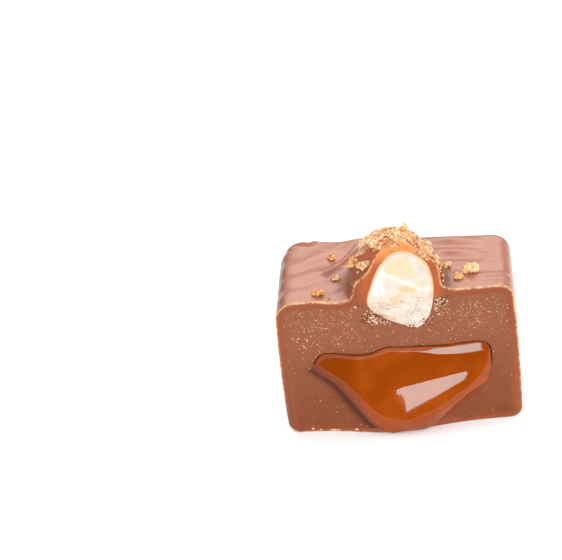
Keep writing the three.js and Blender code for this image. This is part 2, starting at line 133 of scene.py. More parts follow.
# Waves left in the coat by the air that blew it thin, as crests: points (x, behind), width, height.
CRESTS = [
    ([(-13.6, 6.4), (-12.0, 6.9), (-10.2, 8.3), (-8.6, 9.6)], 1.1, 0.14),
    ([(-14.1, 9.7), (-12.3, 10.4), (-10.4, 12.2), (-8.9, 13.8)], 1.2, 0.15),
    ([(-13.6, 2.6), (-11.6, 3.2), (-9.6, 4.6)], 1.0, 0.08),
    ([(4.6, 15.4), (7.5, 15.5), (10.4, 14.8)], 1.05, 0.25),
    ([(5.0, 12.0), (7.6, 11.9), (9.8, 11.4)], 1.05, 0.22),
    ([(6.4, 8.1), (9.0, 8.0), (11.0, 7.4)], 0.9, 0.13),
    ([(11.0, 4.0), (13.0, 3.8), (14.8, 3.4)], 0.7, 0.12),
]
CREASE = [(-9.8, 6.8), (-8.5, 8.5), (-7.4, 10.1), (-5.6, 12.5), (-4.3, 15.4)]
FLAP = [(-14.6, 13.6), (-14.1, 16.1), (-13.4, 16.7), (-11.7, 16.3), (-10.2, 17.3)]
SWELL = {"x": -5.6, "width": 2.8, "height": 0.38, "start": 9, "over": 7}

# Crumbs on the coat: x, behind, size, tone from pale (0) to reddish (1).
LONE_CRUMBS = [
    (-8.5, 12.0, 1.05, 0.65), (-7.7, 6.4, 1.05, 0.4), (-10, 2.2, 1.2, 0.6), (6.9, 7.1, 0.95, 0.25),
    (9.9, 5.3, 1.75, 0.3), (10.7, 4.9, 0.8, 0.3), (8.3, 3.4, 1.15, 0.55), (7.6, 5.5, 0.28, 0.3),
    (-6.9, 9.8, 0.3, 0.1), (-8.5, 1.2, 0.3, 0.8), (1.6, 4.4, 0.7, 0.7)]
CRUMBS = [
    # in the fold at the mound's left foot
    (-3.3, 2.2, 0.3, 0.6), (-3.7, 2.3, 0.3, 0.5), (-4.4, 2.8, 0.4, 0.4), (-4.8, 2.9, 0.5, 0.35),
    (-4.6, 2.1, 0.6, 0.4), (-5.1, 3, 0.5, 0.3), (-5.3, 2.3, 0.7, 0.4), (-5.6, 2.8, 0.6, 0.45),
    (-5, 2, 0.55, 0.4), (-4.2, 1.5, 0.65, 0.45), (-3.6, 1.1, 0.85, 0.3), (-3.1, 1, 0.55, 0.35),
    (-2.8, 0.8, 0.5, 0.45), (-4.4, 1, 0.28, 0.2), (-4.1, 4.9, 0.3, 0.2),
    # over the mound's left shoulder and crest
    (-3.7, 5.2, 0.6, 0.1), (-3.5, 6.2, 0.6, 0.05), (-3.2, 5, 0.75, 0.1), (-2.9, 6.4, 0.8, 0.05),
    (-2.4, 5.4, 0.7, 0.1), (-2.2, 4.3, 0.65, 0.15), (-1.7, 4.6, 0.65, 0.1), (-1.2, 4.8, 0.65, 0.2),
    (-1.9, 5.2, 0.75, 0.05), (-1.3, 5.6, 0.75, 0.1), (-0.6, 5.4, 0.75, 0.35), (-0.2, 5.2, 0.65, 0.5),
    (0.2, 4.7, 0.65, 0.5), (0.7, 4.7, 0.65, 0.1), (1.1, 3.6, 0.65, 0.1), (-2.3, 3.5, 0.8, 0.3),
    (-1.8, 2.5, 0.8, 0.35), (-1.4, 1.5, 0.65, 0.3), (-1.9, 1.8, 0.8, 0.35), (-2.3, 2.2, 0.5, 0.4),
    (-1.5, 1.1, 0.5, 0.3), (-0.8, 2.8, 0.65, 0.15), (-0.3, 2.6, 0.65, 0.2), (0.2, 3, 0.65, 0.25),
    (0.7, 3.2, 0.75, 0.1), (1.1, 2, 0.65, 0.15), (0.1, 1.6, 0.65, 0.2), (-0.4, 1.2, 0.5, 0.4),
    (0.6, 1, 0.65, 0.2), (1, 0.5, 0.6, 0.2), (1.4, 1.2, 0.65, 0.15), (1.8, 2, 0.65, 0.1),
    (0.8, 0.2, 0.5, 0.15), (0.4, 0.3, 0.5, 0.8), (-0.2, 0.2, 0.5, 0.7), (0, -0.1, 0.38, 0.5),
    (0.5, -0.1, 0.38, 0.2), (2, 1.1, 0.5, 0.3), (2.4, 1.9, 0.5, 0.4), (1.9, 0.2, 0.5, 0.2),
    (1.5, 0.1, 0.4, 0.5), (2.6, 1.2, 0.5, 0.2), (3, 2, 0.5, 0.3), (2.9, 0.6, 0.4, 0.6),
    (3.2, 1.5, 0.4, 0.5), (2.4, 2.6, 0.65, 0.6), (2.8, 3.9, 0.6, 0.5), (3.3, 3.9, 0.5, 0.5),
    # down the right shoulder
    (3.6, 1.9, 0.5, 0.3), (3.9, 2.9, 0.65, 0.2), (4.3, 4.2, 0.6, 0.2), (4.8, 4.4, 0.55, 0.15),
    (4.5, 2.9, 0.65, 0.2), (4, 1.9, 0.5, 0.4), (3.7, 1.1, 0.4, 0.6), (4.3, 1.3, 0.65, 0.2),
    (4.8, 2, 0.65, 0.2), (4.6, 0.7, 0.5, 0.35), (4, 0.1, 0.5, 0.3), (4.35, 0.05, 0.38, 0.6),
    (5, 1, 0.4, 0.3), (3.2, 0.1, 0.4, 0.3), (3.5, 0, 0.38, 0.8), (5.2, 1.1, 0.38, 0.4),
    (5.5, 1, 0.4, 0.5), (5.7, 1.2, 0.38, 0.6), (5.9, 1.2, 0.38, 0.5), (6, 1.9, 0.4, 0.5),
    (6.2, 2.6, 0.38, 0.6), (5.9, 2.6, 0.32, 0.4), (5.6, 0.3, 0.28, 0.6), (6.3, 3.4, 0.3, 0.5),
    # down the far side
    (-1.6, 7.1, 0.7, 0.2), (-0.7, 6.5, 0.75, 0.3), (0.3, 6.4, 0.65, 0.1), (1.5, 6.8, 0.6, 0.3),
    (2.6, 6.9, 0.4, 0.2), (0.7, 7.4, 0.55, 0.5), (-0.5, 7.9, 0.5, 0.2), (3.5, 7.4, 0.35, 0.3),
    (2.0, 7.9, 0.45, 0.4), (0.2, 8.8, 0.4, 0.3), (-2.3, 8.3, 0.4, 0.5), (3.0, 8.2, 0.35, 0.2),
    (1.2, 9.6, 0.35, 0.6), (-1.2, 9.3, 0.3, 0.3)]
# Crumbs that hang over the rim, against the cut: x, z, size, tone.
HANGING = [(-2.0, 25.3, 0.4, 0.5), (-1.5, 25.8, 0.45, 0.4), (-1.1, 26.1, 0.55, 0.3),
           (-0.6, 26.35, 0.5, 0.5), (-0.1, 26.45, 0.45, 0.7), (0.3, 26.5, 0.55, 0.2),
           (0.8, 26.5, 0.5, 0.2), (1.3, 26.45, 0.4, 0.6), (2.2, 26.3, 0.35, 0.6),
           (3.3, 25.6, 0.45, 0.4), (3.8, 25.2, 0.55, 0.2), (4.2, 24.7, 0.55, 0.25),
           (4.55, 24.2, 0.4, 0.3), (0.1, 26.15, 0.25, 0.4), (4.0, 24.6, 0.3, 0.3)]
# Chips of coat on the foot of the cut: x, z, size.
CHIPS = [(-14.3, 1.3, 0.4), (-14.0, 1.45, 0.28), (-13.7, 1.3, 0.35), (-13.4, 1.05, 0.42),
         (-13.2, 0.8, 0.3), (-12.9, 0.62, 0.35), (-14.1, 0.95, 0.25), (-13.6, 0.7, 0.3),
         (-12.4, 0.5, 0.25), (-13.9, 0.6, 0.2), (-11.4, 0.35, 0.2), (-9.9, 0.28, 0.25),
         (-9.5, 0.3, 0.3), (-9.0, 0.25, 0.25), (-6.6, 0.4, 0.3)]
# Crumbs heaped on the far side of the crest, and small grains strewn between the others over
# ellipses: x, behind, radii, how many.
HEAPED = [(-3.5, 5.9, 1.25, 0.03), (-2.8, 5.6, 1.4, 0.05), (-2.1, 5.1, 1.4, 0.05), (-1.4, 5.4, 1.25, 0.05),
          (-0.8, 5.2, 1.0, 0.3), (0.0, 4.9, 0.7, 0.6), (0.9, 4.6, 0.65, 0.05), (3.0, 3.2, 0.65, 0.1),
          (2.3, 3.4, 0.6, 0.2), (-1.9, 2.0, 1.15, 0.25), (-2.4, 3.2, 0.95, 0.2), (4.5, 2.6, 1.1, 0.15),
          (4.6, 1.3, 0.9, 0.15), (0.7, 0.9, 1.0, 0.15), (0.2, 2.9, 0.9, 0.2)]
STREWN = [(0.3, 2.7, 2.9, 2.6, 90), (-1.9, 4.2, 1.6, 2.0, 25), (4.3, 2.1, 0.8, 1.7, 45),
          (-4.9, 2.4, 0.8, 0.6, 8), (5.8, 1.3, 0.5, 1.0, 26), (0.8, 7.3, 2.2, 1.5, 45)]
WIDE_CRUMB = {"size": 1.2, "shape": (1.3, 0.8)}
UPRIGHT_CRUMB = {"x": 1.9, "behind": 3.6, "height": 1.33, "tone": 0.9}
CRUMB_SEED, FLECK_SEED, BIT_SEED = 5, 12, 21
# Nut skin and crumbled paste beside the nut on the cut: x, z, spread across and up, how many, size.
BITS = [(-3.1, 16.3, 1.1, 0.75, 130, 0.2), (-4.9, 18.25, 0.9, 0.22, 34, 0.18),
        (-1.6, 15.5, 1.0, 0.3, 36, 0.18), (1.8, 14.9, 0.4, 0.16, 30, 0.22),
        (3.8, 15.3, 0.8, 0.4, 26, 0.18), (5.9, 18.5, 0.5, 0.95, 120, 0.25),
        (7.3, 18.7, 0.9, 0.2, 12, 0.16), (5.2, 17.0, 0.3, 0.9, 34, 0.18)]
# Pale slivers: where they may lie, how many lie outside the clumps, and the clumps' x, z, radii
# across and up, and share.
SLIVERS = {"x": (-14.6, 14.3), "z": (0.6, 18.6), "sparse": 0.035}
SLIVER_CLUMPS = [(-9.5, 15.0, 4.2, 3.6, 1.0), (9.5, 16.2, 4.4, 2.2, 1.0), (3.0, 13.2, 7.5, 1.1, 0.35)]
# What lies on the cut: which way its ground faces, how deep it may be and what is kept clear before it.
CUT_SPOT = {"facing": -0.85, "deepest": 0.6, "clear": 0.3}

# Where lines start that seat crumbs and bits: over the chocolate, and in front of the cut.
ABOVE, IN_FRONT, NEAR_FRONT = 40.0, -8.0, -6.0
DOWN, BACKWARD = (0, 0, -1), (0, 1, 0)
MAX_TRIES = 200  # for each sliver
BATCH = 4000  # points that are compared with the rim at once

# Soft boxes: name, place, what they face, width, height, brightness as seen, colour.
LIGHTS = [
    ("back_box", (-60, 330, 265), (0, 8, 15), 420, 200, 2.8, (1.0, 0.93, 0.8)),
    ("window", (-14, -330, 105), (3, -2, 6), 138, 102, 14.5, (0.8, 1.0, 1.03)),
    ("window_glow", (-18, -345, 150), (3, -2, 6), 260, 200, 1.4, (1, 1, 1))]
# The camera's place and directions, its focal length and image width in pixels, and its sensor.
CAMERA = {"place": (15.668, -296.304, 170.605), "right": (0.99287369, 0.04513388, -0.11029399),
          "up": (0.0782329, 0.4513004, 0.8889362), "back": (0.08989686, -0.89122998, 0.44455334),
          "focal": 2600, "image": 562, "sensor": 36.0}
TABLE = {"left": -700, "right": 700, "front": -48, "back": 900, "steps": 24, "z": -0.02}

# ---- small tools ------------------------------------------------------------------------------

def lerp(a, b, t):
    return a + (b - a) * t


def smooth_step(t):
    t = np.clip(t, 0.0, 1.0)
    return t * t * (3 - 2 * t)


def profile(points):
    """A smooth curve through rising points that never swings past them."""
    xs, ys = np.array(points, float).T
    slope = np.diff(ys) / np.diff(xs)
    tangent = np.zeros(len(xs))
    before, after = slope[:-1], slope[1:]
    same = before * after > 0
    tangent[1:-1][same] = 2 * before[same] * after[same] / (before[same] + after[same])

    def at(x):
        x = np.clip(x, xs[0], xs[-1])
        i = np.clip(np.searchsorted(xs, x, side="right") - 1, 0, len(xs) - 2)
        span = xs[i + 1] - xs[i]
        t = (x - xs[i]) / span
        rise = lerp(ys[i], ys[i + 1], t * t * (3 - 2 * t))
        return rise + span * t * (1 - t) * ((1 - t) * tangent[i] - t * tangent[i + 1])

    return at


mound_right, mound_left, mound_back = map(profile, (MOUND_RIGHT, MOUND_LEFT, MOUND_BACK))


def round_off(distance, end, radius):
    """How much a wall has turned in where an edge of this radius rounds the back."""
    past = np.clip(distance - (end - radius), 0, radius)
    return radius - np.sqrt(radius * radius - past * past)


def stations(start, end, count):
    """Even steps, packed towards the end of the range."""
    return lerp(start, end, np.sin(np.linspace(0, math.pi / 2, count)))


def grain(points, size, seed=0.0):
    """Smooth noise between -1 and 1 at each point, with lumps of this size."""
    shift = Vector((seed * 17.3, seed * 5.1, seed * 9.7))
    return np.array([noise.noise(Vector(p) / size + shift) for p in points])


def line_distance(x, y, points):
    """Signed distance to a line of points, positive on its right, and the share of its length."""
    corners = np.array(points, float)
    best = np.full(np.shape(x), 1e9)
    signed = np.zeros(np.shape(x))
    share = np.zeros(np.shape(x))
    lengths = np.hypot(*np.diff(corners, axis=0).T)
    run = np.concatenate([[0], np.cumsum(lengths)])
    for i, (a, b) in enumerate(zip(corners[:-1], corners[1:])):
        step = b - a
        t = np.clip(((x - a[0]) * step[0] + (y - a[1]) * step[1]) / (step @ step), 0, 1)
        dx, dy = x - a[0] - t * step[0], y - a[1] - t * step[1]
        away = np.hypot(dx, dy)
        near = away < best
        side = np.where(dx * step[1] - dy * step[0] >= 0, 1.0, -1.0)
        signed = np.where(near, away * side, signed)
        share = np.where(near, (run[i] + t * lengths[i]) / run[-1], share)
        best = np.minimum(best, away)
    return signed, share


# ---- the block's surfaces ---------------------------------------------------------------------

def mound(x, behind):
    """Height of the mound above the flat top."""
    across = x - MOUND["x"]
    along = np.maximum(0, behind - MOUND["straight"])
    filled = smooth_step(behind / MOUND_SHOULDER["within"])
    left = MOUND["left"] + MOUND_SHOULDER["wider"] * filled
    side = np.where(across > 0, across / MOUND["right"], across / left)
    reach = np.maximum(np.hypot(side, along / MOUND["back"]), 1e-6)
    towards_back = (along / MOUND["back"] / reach) ** 2
    left_flank = lerp(mound_left(reach), mound_right(reach), filled)
    flank = np.where(across > 0, mound_right(reach), left_flank)
    shape = lerp(flank, mound_back(reach), towards_back)
    return shape * (MOUND["height"] - MOUND_LEAN * behind)


def flat_top(x):
    return TOP_Z + TOP_RISE * x - DISH["depth"] * np.exp(-(((x - DISH["x"]) / DISH["width"]) ** 2))


def crests(x, behind):
    """The waves of the coat: soft crests with shallow troughs beside them."""
    total = np.zeros(np.shape(x))
    for points, width, height in CRESTS:
        away, share = line_distance(x, behind, points)
        fade = np.sin(math.pi * np.clip(0.12 + 0.76 * share, 0, 1)) ** 0.6
        trough = np.exp(-(((away - 1.9 * width) / width) ** 2))
        total += height * fade * (np.exp(-((away / width) ** 2)) - 0.55 * trough)
    return total


def crease(x, behind):
    """A fold that runs back along the mound's left foot: a thin lip with a groove on its right."""
    away, share = line_distance(x, behind, CREASE)
    fade = smooth_step(share / 0.15) * smooth_step((1 - share) / 0.25)
    lip = 0.2 * np.exp(-(((away + 0.3) / 0.42) ** 2))
    groove = -0.26 * np.exp(-(((away - 0.28) / 0.24) ** 2))
    return fade * (lip + groove)


def flap(x, behind):
    """A thin fold of coat at the back left corner, with a dark slit under its edge."""
    away, share = line_distance(x, behind, FLAP)
    fade = smooth_step(share / 0.2) * smooth_step((1 - share) / 0.2)
    lip = 0.36 * np.exp(-(((away - 0.5) / 0.5) ** 2))
    slit = -0.5 * np.exp(-(((away + 0.2) / 0.36) ** 2))
    return fade * (lip + slit)


def top_relief(x, behind):
    rise = smooth_step((behind - SWELL["start"]) / SWELL["over"])
    swell = SWELL["height"] * np.exp(-(((x - SWELL["x"]) / SWELL["width"]) ** 2)) * rise
    return crests(x, behind) + crease(x, behind) + flap(x, behind) + swell


def outer_top(x, behind):
    return flat_top(x) + mound(x, behind) + top_relief(x, behind)


def sag(x, z, behind):
    """How far the foot of the cut is pushed forward by the caramel."""
    low = np.maximum(0, 1 - z / SAG["height"]) ** 2
    near = np.maximum(0, 1 - behind / SAG["reach"]) ** 2
    bulge = SAG["forward"] * np.exp(-(((x - SAG["x"]) / SAG["width"]) ** 2))
    return low * near * (bulge - SAG["back"])


def place(x, z, behind):
    """Points of the block at x, z, and this far behind the cut."""
    y = behind * (1 - BACK_SLANT * x / DEPTH) - sag(x, z, behind)
    return np.stack(np.broadcast_arrays(x, y, z), -1)


def bow(x, z):
    middle = np.sin(math.pi * np.clip(z / TOP_Z, 0, 1))
    outer = np.clip((np.abs(x) - SIDE_BOW["start"]) / SIDE_BOW["over"], 0, 1)
    return x + np.sign(x) * SIDE_BOW["swell"] * middle * outer


def walls(behind, wall):
    """Left, right, low and how much the top is lowered, this far behind the cut."""
    end = DEPTH - wall["back"]

    def turn(edge):
        return round_off(behind, end, max(SHARPEST, BACK_EDGE[edge] - wall["back"]))

    return (LEFT_X + wall["left"] + turn("left"), RIGHT_X - wall["right"] - turn("right"),
            wall["low"] + turn("low"), wall["top"] + turn("top"))


def edge_radii(name, wall):
    across, up = EDGE[name]
    return max(SHARPEST, across - wall["left"]), max(SHARPEST, up - wall["top"])


def arc(cx, cz, radii, quarter, steps):
    angle = np.linspace(quarter, quarter + 1, steps + 1) * math.pi / 2
    return np.stack([cx + radii[0] * np.cos(angle), cz + radii[1] * np.sin(angle)], -1)


def even_line(points, count):
    """The same line again in even steps, without its ends."""
    run = np.concatenate([[0], np.cumsum(np.hypot(*np.diff(points, axis=0).T))])
    at = np.linspace(0, run[-1], count + 1)[1:-1]
    return np.stack([np.interp(at, run, points[:, 0]), np.interp(at, run, points[:, 1])], -1)


def section(behind, steps):
    """The coat's outline this far behind the cut, counter-clockwise seen from the cut."""
    left, right, low, lowered = walls(behind, NO_WALL)
    tl, tr, br, bl = (edge_radii(n, NO_WALL) for n in ("top_left", "top_right", "low_right", "low_left"))
    x = np.linspace(right - tr[0], left + tl[0], 1400)
    line = np.stack([x, outer_top(x, behind) - lowered], -1)
    right_top, left_top = line[0, 1], line[-1, 1]
    side = np.linspace(0, 1, steps["side"] + 1)[1:-1]
    rise = lerp(low + br[1], right_top - tr[1], side)
    fall = lerp(left_top - tl[1], low + bl[1], side)
    base = lerp(left + bl[0], right - br[0], np.linspace(0, 1, steps["base"] + 1)[1:-1])
    ring = np.concatenate([
        arc(left + bl[0], low + bl[1], bl, 2, steps["corner"]),
        np.stack([base, np.full(len(base), low)], -1),
        arc(right - br[0], low + br[1], br, 3, steps["corner"]),
        np.stack([np.full(len(rise), right), rise], -1),
        arc(right - tr[0], right_top - tr[1], tr, 0, steps["corner"]),
        even_line(line, steps["top"]),
        arc(left + tl[0], left_top - tl[1], tl, 1, steps["corner"]),
        np.stack([np.full(len(fall), left), fall], -1)])
    return np.stack([bow(ring[:, 0], ring[:, 1]), ring[:, 1]], -1)


# ---- meshes -----------------------------------------------------------------------------------

def ring_faces(rings, count, start=0):
    """Faces between rings of count points each."""
    k = np.arange(count)
    following = (k + 1) % count
    faces = []
    for r in range(rings - 1):
        a, b = start + r * count, start + (r + 1) * count
        faces.append(np.stack([a + k, a + following, b + following, b + k], -1))
    return np.concatenate(faces).tolist()


def new_mesh(name, points, faces, weld=0.0):
    """A mesh object from points in millimetres; a closed one faces outwards."""
    mesh = bpy.data.meshes.new(name)
    mesh.from_pydata(((np.asarray(points) + CENTRED) * MM).tolist(), [], faces)
    work = bmesh.new()
    work.from_mesh(mesh)
    if weld:
        bmesh.ops.remove_doubles(work, verts=work.verts, dist=weld * MM)
        bmesh.ops.dissolve_degenerate(work, dist=1e-8, edges=work.edges)
    bmesh.ops.recalc_face_normals(work, faces=work.faces)
    work.to_mesh(mesh)
    work.free()
    piece = bpy.data.objects.new(name, mesh)
    bpy.context.scene.collection.objects.link(piece)
    return piece


def own_points(piece):
    """The piece's points in millimetres, in the chocolate's frame."""
    points = np.empty(len(piece.data.vertices) * 3)
    piece.data.vertices.foreach_get("co", points)
    return points.reshape(-1, 3) / MM - CENTRED


def move_points(piece, points):
    piece.data.vertices.foreach_set("co", ((points + CENTRED) * MM).ravel())
    piece.data.update()


def carve(piece, *cutters):
    """Cuts other solids out of a piece, and removes them."""
    for cutter in cutters:
        cut = piece.modifiers.new("cut", "BOOLEAN")
        cut.operation, cut.solver, cut.object = "DIFFERENCE", "MANIFOLD", cutter
    view = bpy.context.evaluated_depsgraph_get()
    mesh = bpy.data.meshes.new_from_object(piece.evaluated_get(view))
    piece.modifiers.clear()
    old, piece.data = piece.data, mesh
    bpy.data.meshes.remove(old)
    mesh.name = piece.name
    for cutter in cutters:
        data = cutter.data
        bpy.data.objects.remove(cutter)
        bpy.data.meshes.remove(data)


def mark(piece, name, values):
    """Keeps one number for each point of a piece, for its finish."""
    layer = piece.data.attributes.new(name, "FLOAT", "POINT")
    layer.data.foreach_set("value", np.asarray(values, float))


def shade(piece, angle=None):
    piece.data.shade_smooth()
    if angle is not None:
        piece.data.set_sharp_from_angle(angle=math.radians(angle))


def hand_over(piece, finish, slot, *nodes):
    """Gives a piece its finish and its place in the frame."""
    piece.data.materials.clear()
    piece.data.materials.append(finish)
    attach(piece, "root")
    if nodes:
        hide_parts(*nodes)


def closed_curve(points, count):
    """Evenly spaced points on a smooth closed curve through these; extra columns ride along."""
    given = np.array(points, float)
    fine = []
    for i in range(len(given)):
        p0, p1, p2, p3 = (given[(i + k) % len(given)] for k in (-1, 0, 1, 2))
        d0, d1, d2 = (np.hypot(*(b - a)[:2]) ** 0.5 for a, b in ((p0, p1), (p1, p2), (p2, p3)))
        t1 = ((p1 - p0) / d0 - (p2 - p0) / (d0 + d1) + (p2 - p1) / d1) * d1
        t2 = ((p2 - p1) / d1 - (p3 - p1) / (d1 + d2) + (p3 - p2) / d2) * d1
        t = np.linspace(0, 1, 40, endpoint=False)[:, None]
        fine.append(p1 + t1 * t + (3 * (p2 - p1) - 2 * t1 - t2) * t ** 2
                    + (2 * (p1 - p2) + t1 + t2) * t ** 3)
    fine = np.concatenate(fine)
    fine = np.concatenate([fine, fine[:1]])
    run = np.concatenate([[0], np.cumsum(np.hypot(*np.diff(fine[:, :2], axis=0).T))])
    at = np.linspace(0, run[-1], count, endpoint=False)
    return np.stack([np.interp(at, run, fine[:, c]) for c in range(fine.shape[1])], -1)


def inward(ring):
    """Unit directions into a closed ring of x, z points."""
    along = np.roll(ring, -1, axis=0) - np.roll(ring, 1, axis=0)
    along /= np.hypot(*along.T)[:, None]
    across = np.stack([-along[:, 1], along[:, 0]], -1)
    area = np.sum(ring[:, 0] * np.roll(ring[:, 1], -1) - np.roll(ring[:, 0], -1) * ring[:, 1])
    return across if area > 0 else -across


def gaps(points, ring):
    """The distance from each point to each point of a ring."""
    return np.hypot(points[:, None, 0] - ring[None, :, 0], points[:, None, 1] - ring[None, :, 1])


def patch(ring, spacing):
    """Points and triangles that fill a closed ring evenly."""
    low, high = ring.min(axis=0), ring.max(axis=0)
    xs, zs = (np.arange(a + spacing / 2, b, spacing) for a, b in zip(low, high))
    grid = np.stack(np.meshgrid(xs, zs), -1).reshape(-1, 2)
    a, b = ring, np.roll(ring, -1, axis=0)
    inside = np.zeros(len(grid), bool)
    for (ax, az), (bx, bz) in zip(a, b):
        if az != bz:
            crosses = (grid[:, 1] < az) != (grid[:, 1] < bz)
            inside ^= crosses & (grid[:, 0] < ax + (grid[:, 1] - az) * (bx - ax) / (bz - az))
    grid = grid[inside]
    grid = grid[gaps(grid, ring).min(axis=1) > 0.55 * spacing]
    every = [Vector(p) for p in np.concatenate([ring, grid]).tolist()]
    outline = [list(range(len(ring)))]
    points, _, faces, _, _, _ = geometry.delaunay_2d_cdt(every, [], outline, 1, 1e-7)
    return np.array([tuple(p) for p in points]), [list(f) for f in faces]


# ---- the coat ---------------------------------------------------------------------------------

COAT_STEPS = {"corner": 10, "side": 52, "base": 60, "top": 330}
RIM_INSETS = [0.22, 0.34, 0.48, 0.62, 0.78, 0.95, 1.12, 1.3]
BACK_MIDDLE = (-4.5, 8.0), (5.0, 11.5)  # the low left and the high right of where rings close
CUT_MIDDLE = (-5.5, 7.5), (6.0, 11.0)


def outer_skin():
    """The coat's outside as a closed solid: skin, rounded rim and cut face."""
    end = DEPTH
    turn = end - BACK_EDGE["left"]
    rows = np.concatenate([np.linspace(0.5, turn, 74, endpoint=False), stations(turn, end, 34)])
    front = section(0.0, COAT_STEPS)
    into = inward(front)
    count = len(front)
    at = np.column_stack([front, np.zeros(count)])
    chip = np.clip(grain(at, 1.7, 1) * 1.3 - 0.1, 0, 1) + 0.35 * np.clip(grain(at, 0.5, 2) - 0.15, 0, 1)
    radius = 0.1 + 0.13 * chip
    rings = []
    for inset in RIM_INSETS[::-1]:
        flat = front + into * inset
        rings.append(place(flat[:, 0], flat[:, 1], 0.0))
    for angle in (80, 55, 30, 8):
        a = math.radians(angle)
        flat = front + into * (radius * (1 - math.cos(a)))[:, None]
        rings.append(place(flat[:, 0], flat[:, 1], radius * (1 - math.sin(a))))
    for behind in rows:
        ring = section(behind, COAT_STEPS)
        rings.append(place(ring[:, 0], ring[:, 1], behind))
    last = section(end, COAT_STEPS)
    centre = np.clip(last, *BACK_MIDDLE)
    for share in np.linspace(0, 0.97, 26)[1:]:
        ring = lerp(last, centre, share)
        rings.append(place(ring[:, 0], ring[:, 1], end + BACK_CROWN * (1 - (1 - share) ** 2)))
    inner = front + into * RIM_INSETS[-1]
    heart = np.clip(inner, *CUT_MIDDLE)
    for share in np.linspace(0, 0.97, 8)[1:]:
        ring = lerp(inner, heart, share)
        rings.insert(0, place(ring[:, 0], ring[:, 1], 0.0))
    return solid_of_rings("coat", rings, rings[-1].mean(axis=0), rings[0].mean(axis=0))


def side_waves(points, height):
    """Slow hollows and swells down the sides and back, and none on the base, top or cut."""
    _, y, z = points.T
    broad = grain(points * (1, 1, 0.45), 5.2, 3)
    fine = grain(points * (1, 1, 0.7), 2.1, 4)
    clear = smooth_step(z / 2.5) * smooth_step((y - 0.6) / 2.5) * smooth_step((TOP_Z - 1 - z) / 3)
    return height * clear * (broad + 0.22 * fine)


# ---- inside the coat --------------------------------------------------------------------------

def core_points(u, v, behind):
    """Places inside the coat: u runs from left to right and v from low to high."""
    left, right, low, lowered = walls(behind, WALL)
    x = lerp(left, right, u)
    ceiling = flat_top(x) - lowered
    ground = np.full(np.shape(x), low)
    for name, sign, at_top in (("top_left", 1, True), ("top_right", -1, True),
                               ("low_left", 1, False), ("low_right", -1, False)):
        across, up = edge_radii(name, WALL)
        inwards = (x - left) if sign > 0 else (right - x)
        turned = np.clip(1 - inwards / across, 0, 1)
        drop = up * (1 - np.sqrt(1 - turned ** 2))
        if at_top:
            ceiling = ceiling - drop
        else:
            ground = ground + drop
    z = lerp(ground, ceiling, v)
    return bow(x, z), z


def edge_packed(count, reach):
    """Steps from 0 to 1 that are finer near both ends."""
    t = np.linspace(0, 1, count)
    return lerp(t, (1 - np.cos(math.pi * t)) / 2, reach)


def core_solid(name, columns, lines, front, face_relief=None):
    """What fills the coat, or the hollow it leaves when front reaches out of the cut."""
    u, v = edge_packed(columns, 0.45), edge_packed(lines, 0.25)
    uu, vv = np.meshgrid(u, v)
    x, z = core_points(uu, vv, 0.0)
    face = place(x, z, 0.0)
    face[..., 1] -= front
    if face_relief is not None:
        face[..., 1] -= face_relief(x, z)
    index = np.arange(lines * columns).reshape(lines, columns)
    quads = np.stack([index[:-1, :-1], index[:-1, 1:], index[1:, 1:], index[1:, :-1]], -1)
    faces = quads.reshape(-1, 4).tolist()
    loop = np.concatenate([index[0, :-1], index[:-1, -1], index[-1, :0:-1], index[:0:-1, 0]])
    lu, lv = uu.ravel()[loop], vv.ravel()[loop]
    end = DEPTH - WALL["back"]
    points = [face.reshape(-1, 3)]
    depths = np.concatenate([np.linspace(0.3, end - 3.9, 9, endpoint=False), stations(end - 3.9, end, 9)])
    if front:
        depths = np.concatenate([[0.0], depths])
    for behind in depths:
        rx, rz = core_points(lu, lv, behind)
        points.append(place(rx, rz, behind))
    for share in (0.3, 0.6, 0.85, 0.97):
        rx, rz = core_points(lerp(lu, 0.5, share), lerp(lv, 0.5, share), end)
        points.append(place(rx, rz, end))
    start, count = lines * columns, len(loop)
    rings = len(points) - 1
    k = np.arange(count)
    after = (k + 1) % count
    faces += np.stack([loop[k], start + k, start + after, loop[after]], -1).tolist()
    faces += ring_faces(rings, count, start)
    last = start + (rings - 1) * count
    points.append(points[-1].mean(axis=0)[None])
    faces += np.stack([np.full(count, last + count), last + after, last + k], -1).tolist()
    return new_mesh(name, np.concatenate(points), faces)


def nut_rings(clearance, front, around=200, along=34):
    """The nut's outline swept back and rounded off."""
    depth = NUT["depth"] + clearance
    widest = math.sqrt(1 - (NUT["girth"] / depth) ** 2)
    face = closed_curve(NUT_FACE, around)[::-1]
    face = face - inward(face) * clearance
    middle = np.array([NUT["x"], NUT["z"]])
    rings = []
    for behind in stations(0, depth, along)[:-1]:
        share = (behind - NUT["girth"]) / (depth - NUT["girth"])
        size = math.sqrt(max(0.0, 1 - share * share)) / widest
        ring = lerp(middle, face, size)
        rings.append(np.column_stack([ring[:, 0], np.full(around, behind), ring[:, 1]]))
    if front:
        rings.insert(0, np.column_stack([face[:, 0], np.full(around, -front), face[:, 1]]))
    return rings, np.array([NUT["x"], depth, NUT["z"]])


def solid_of_rings(name, rings, back, front_centre=None, cap=None):
    """A closed solid from rings, a point at the back, and a point or a patch at the front."""
    count = len(rings[0])
    points = np.concatenate(rings + [back[None]])
    faces = ring_faces(len(rings), count)
    k = np.arange(count)
    after = (k + 1) % count
    base = (len(rings) - 1) * count
    faces += np.stack([np.full(count, len(rings) * count), base + k, base + after], -1).tolist()
    if cap is None:
        points = np.concatenate([points, front_centre[None]])
        faces += np.stack([np.full(count, len(points) - 1), after, k], -1).tolist()
        return new_mesh(name, points, faces)
    cap_points, cap_faces = cap
    shift = len(points)
    faces += [[i + shift for i in f] for f in cap_faces]
    return new_mesh(name, np.concatenate([points, cap_points]), faces, weld=0.004)


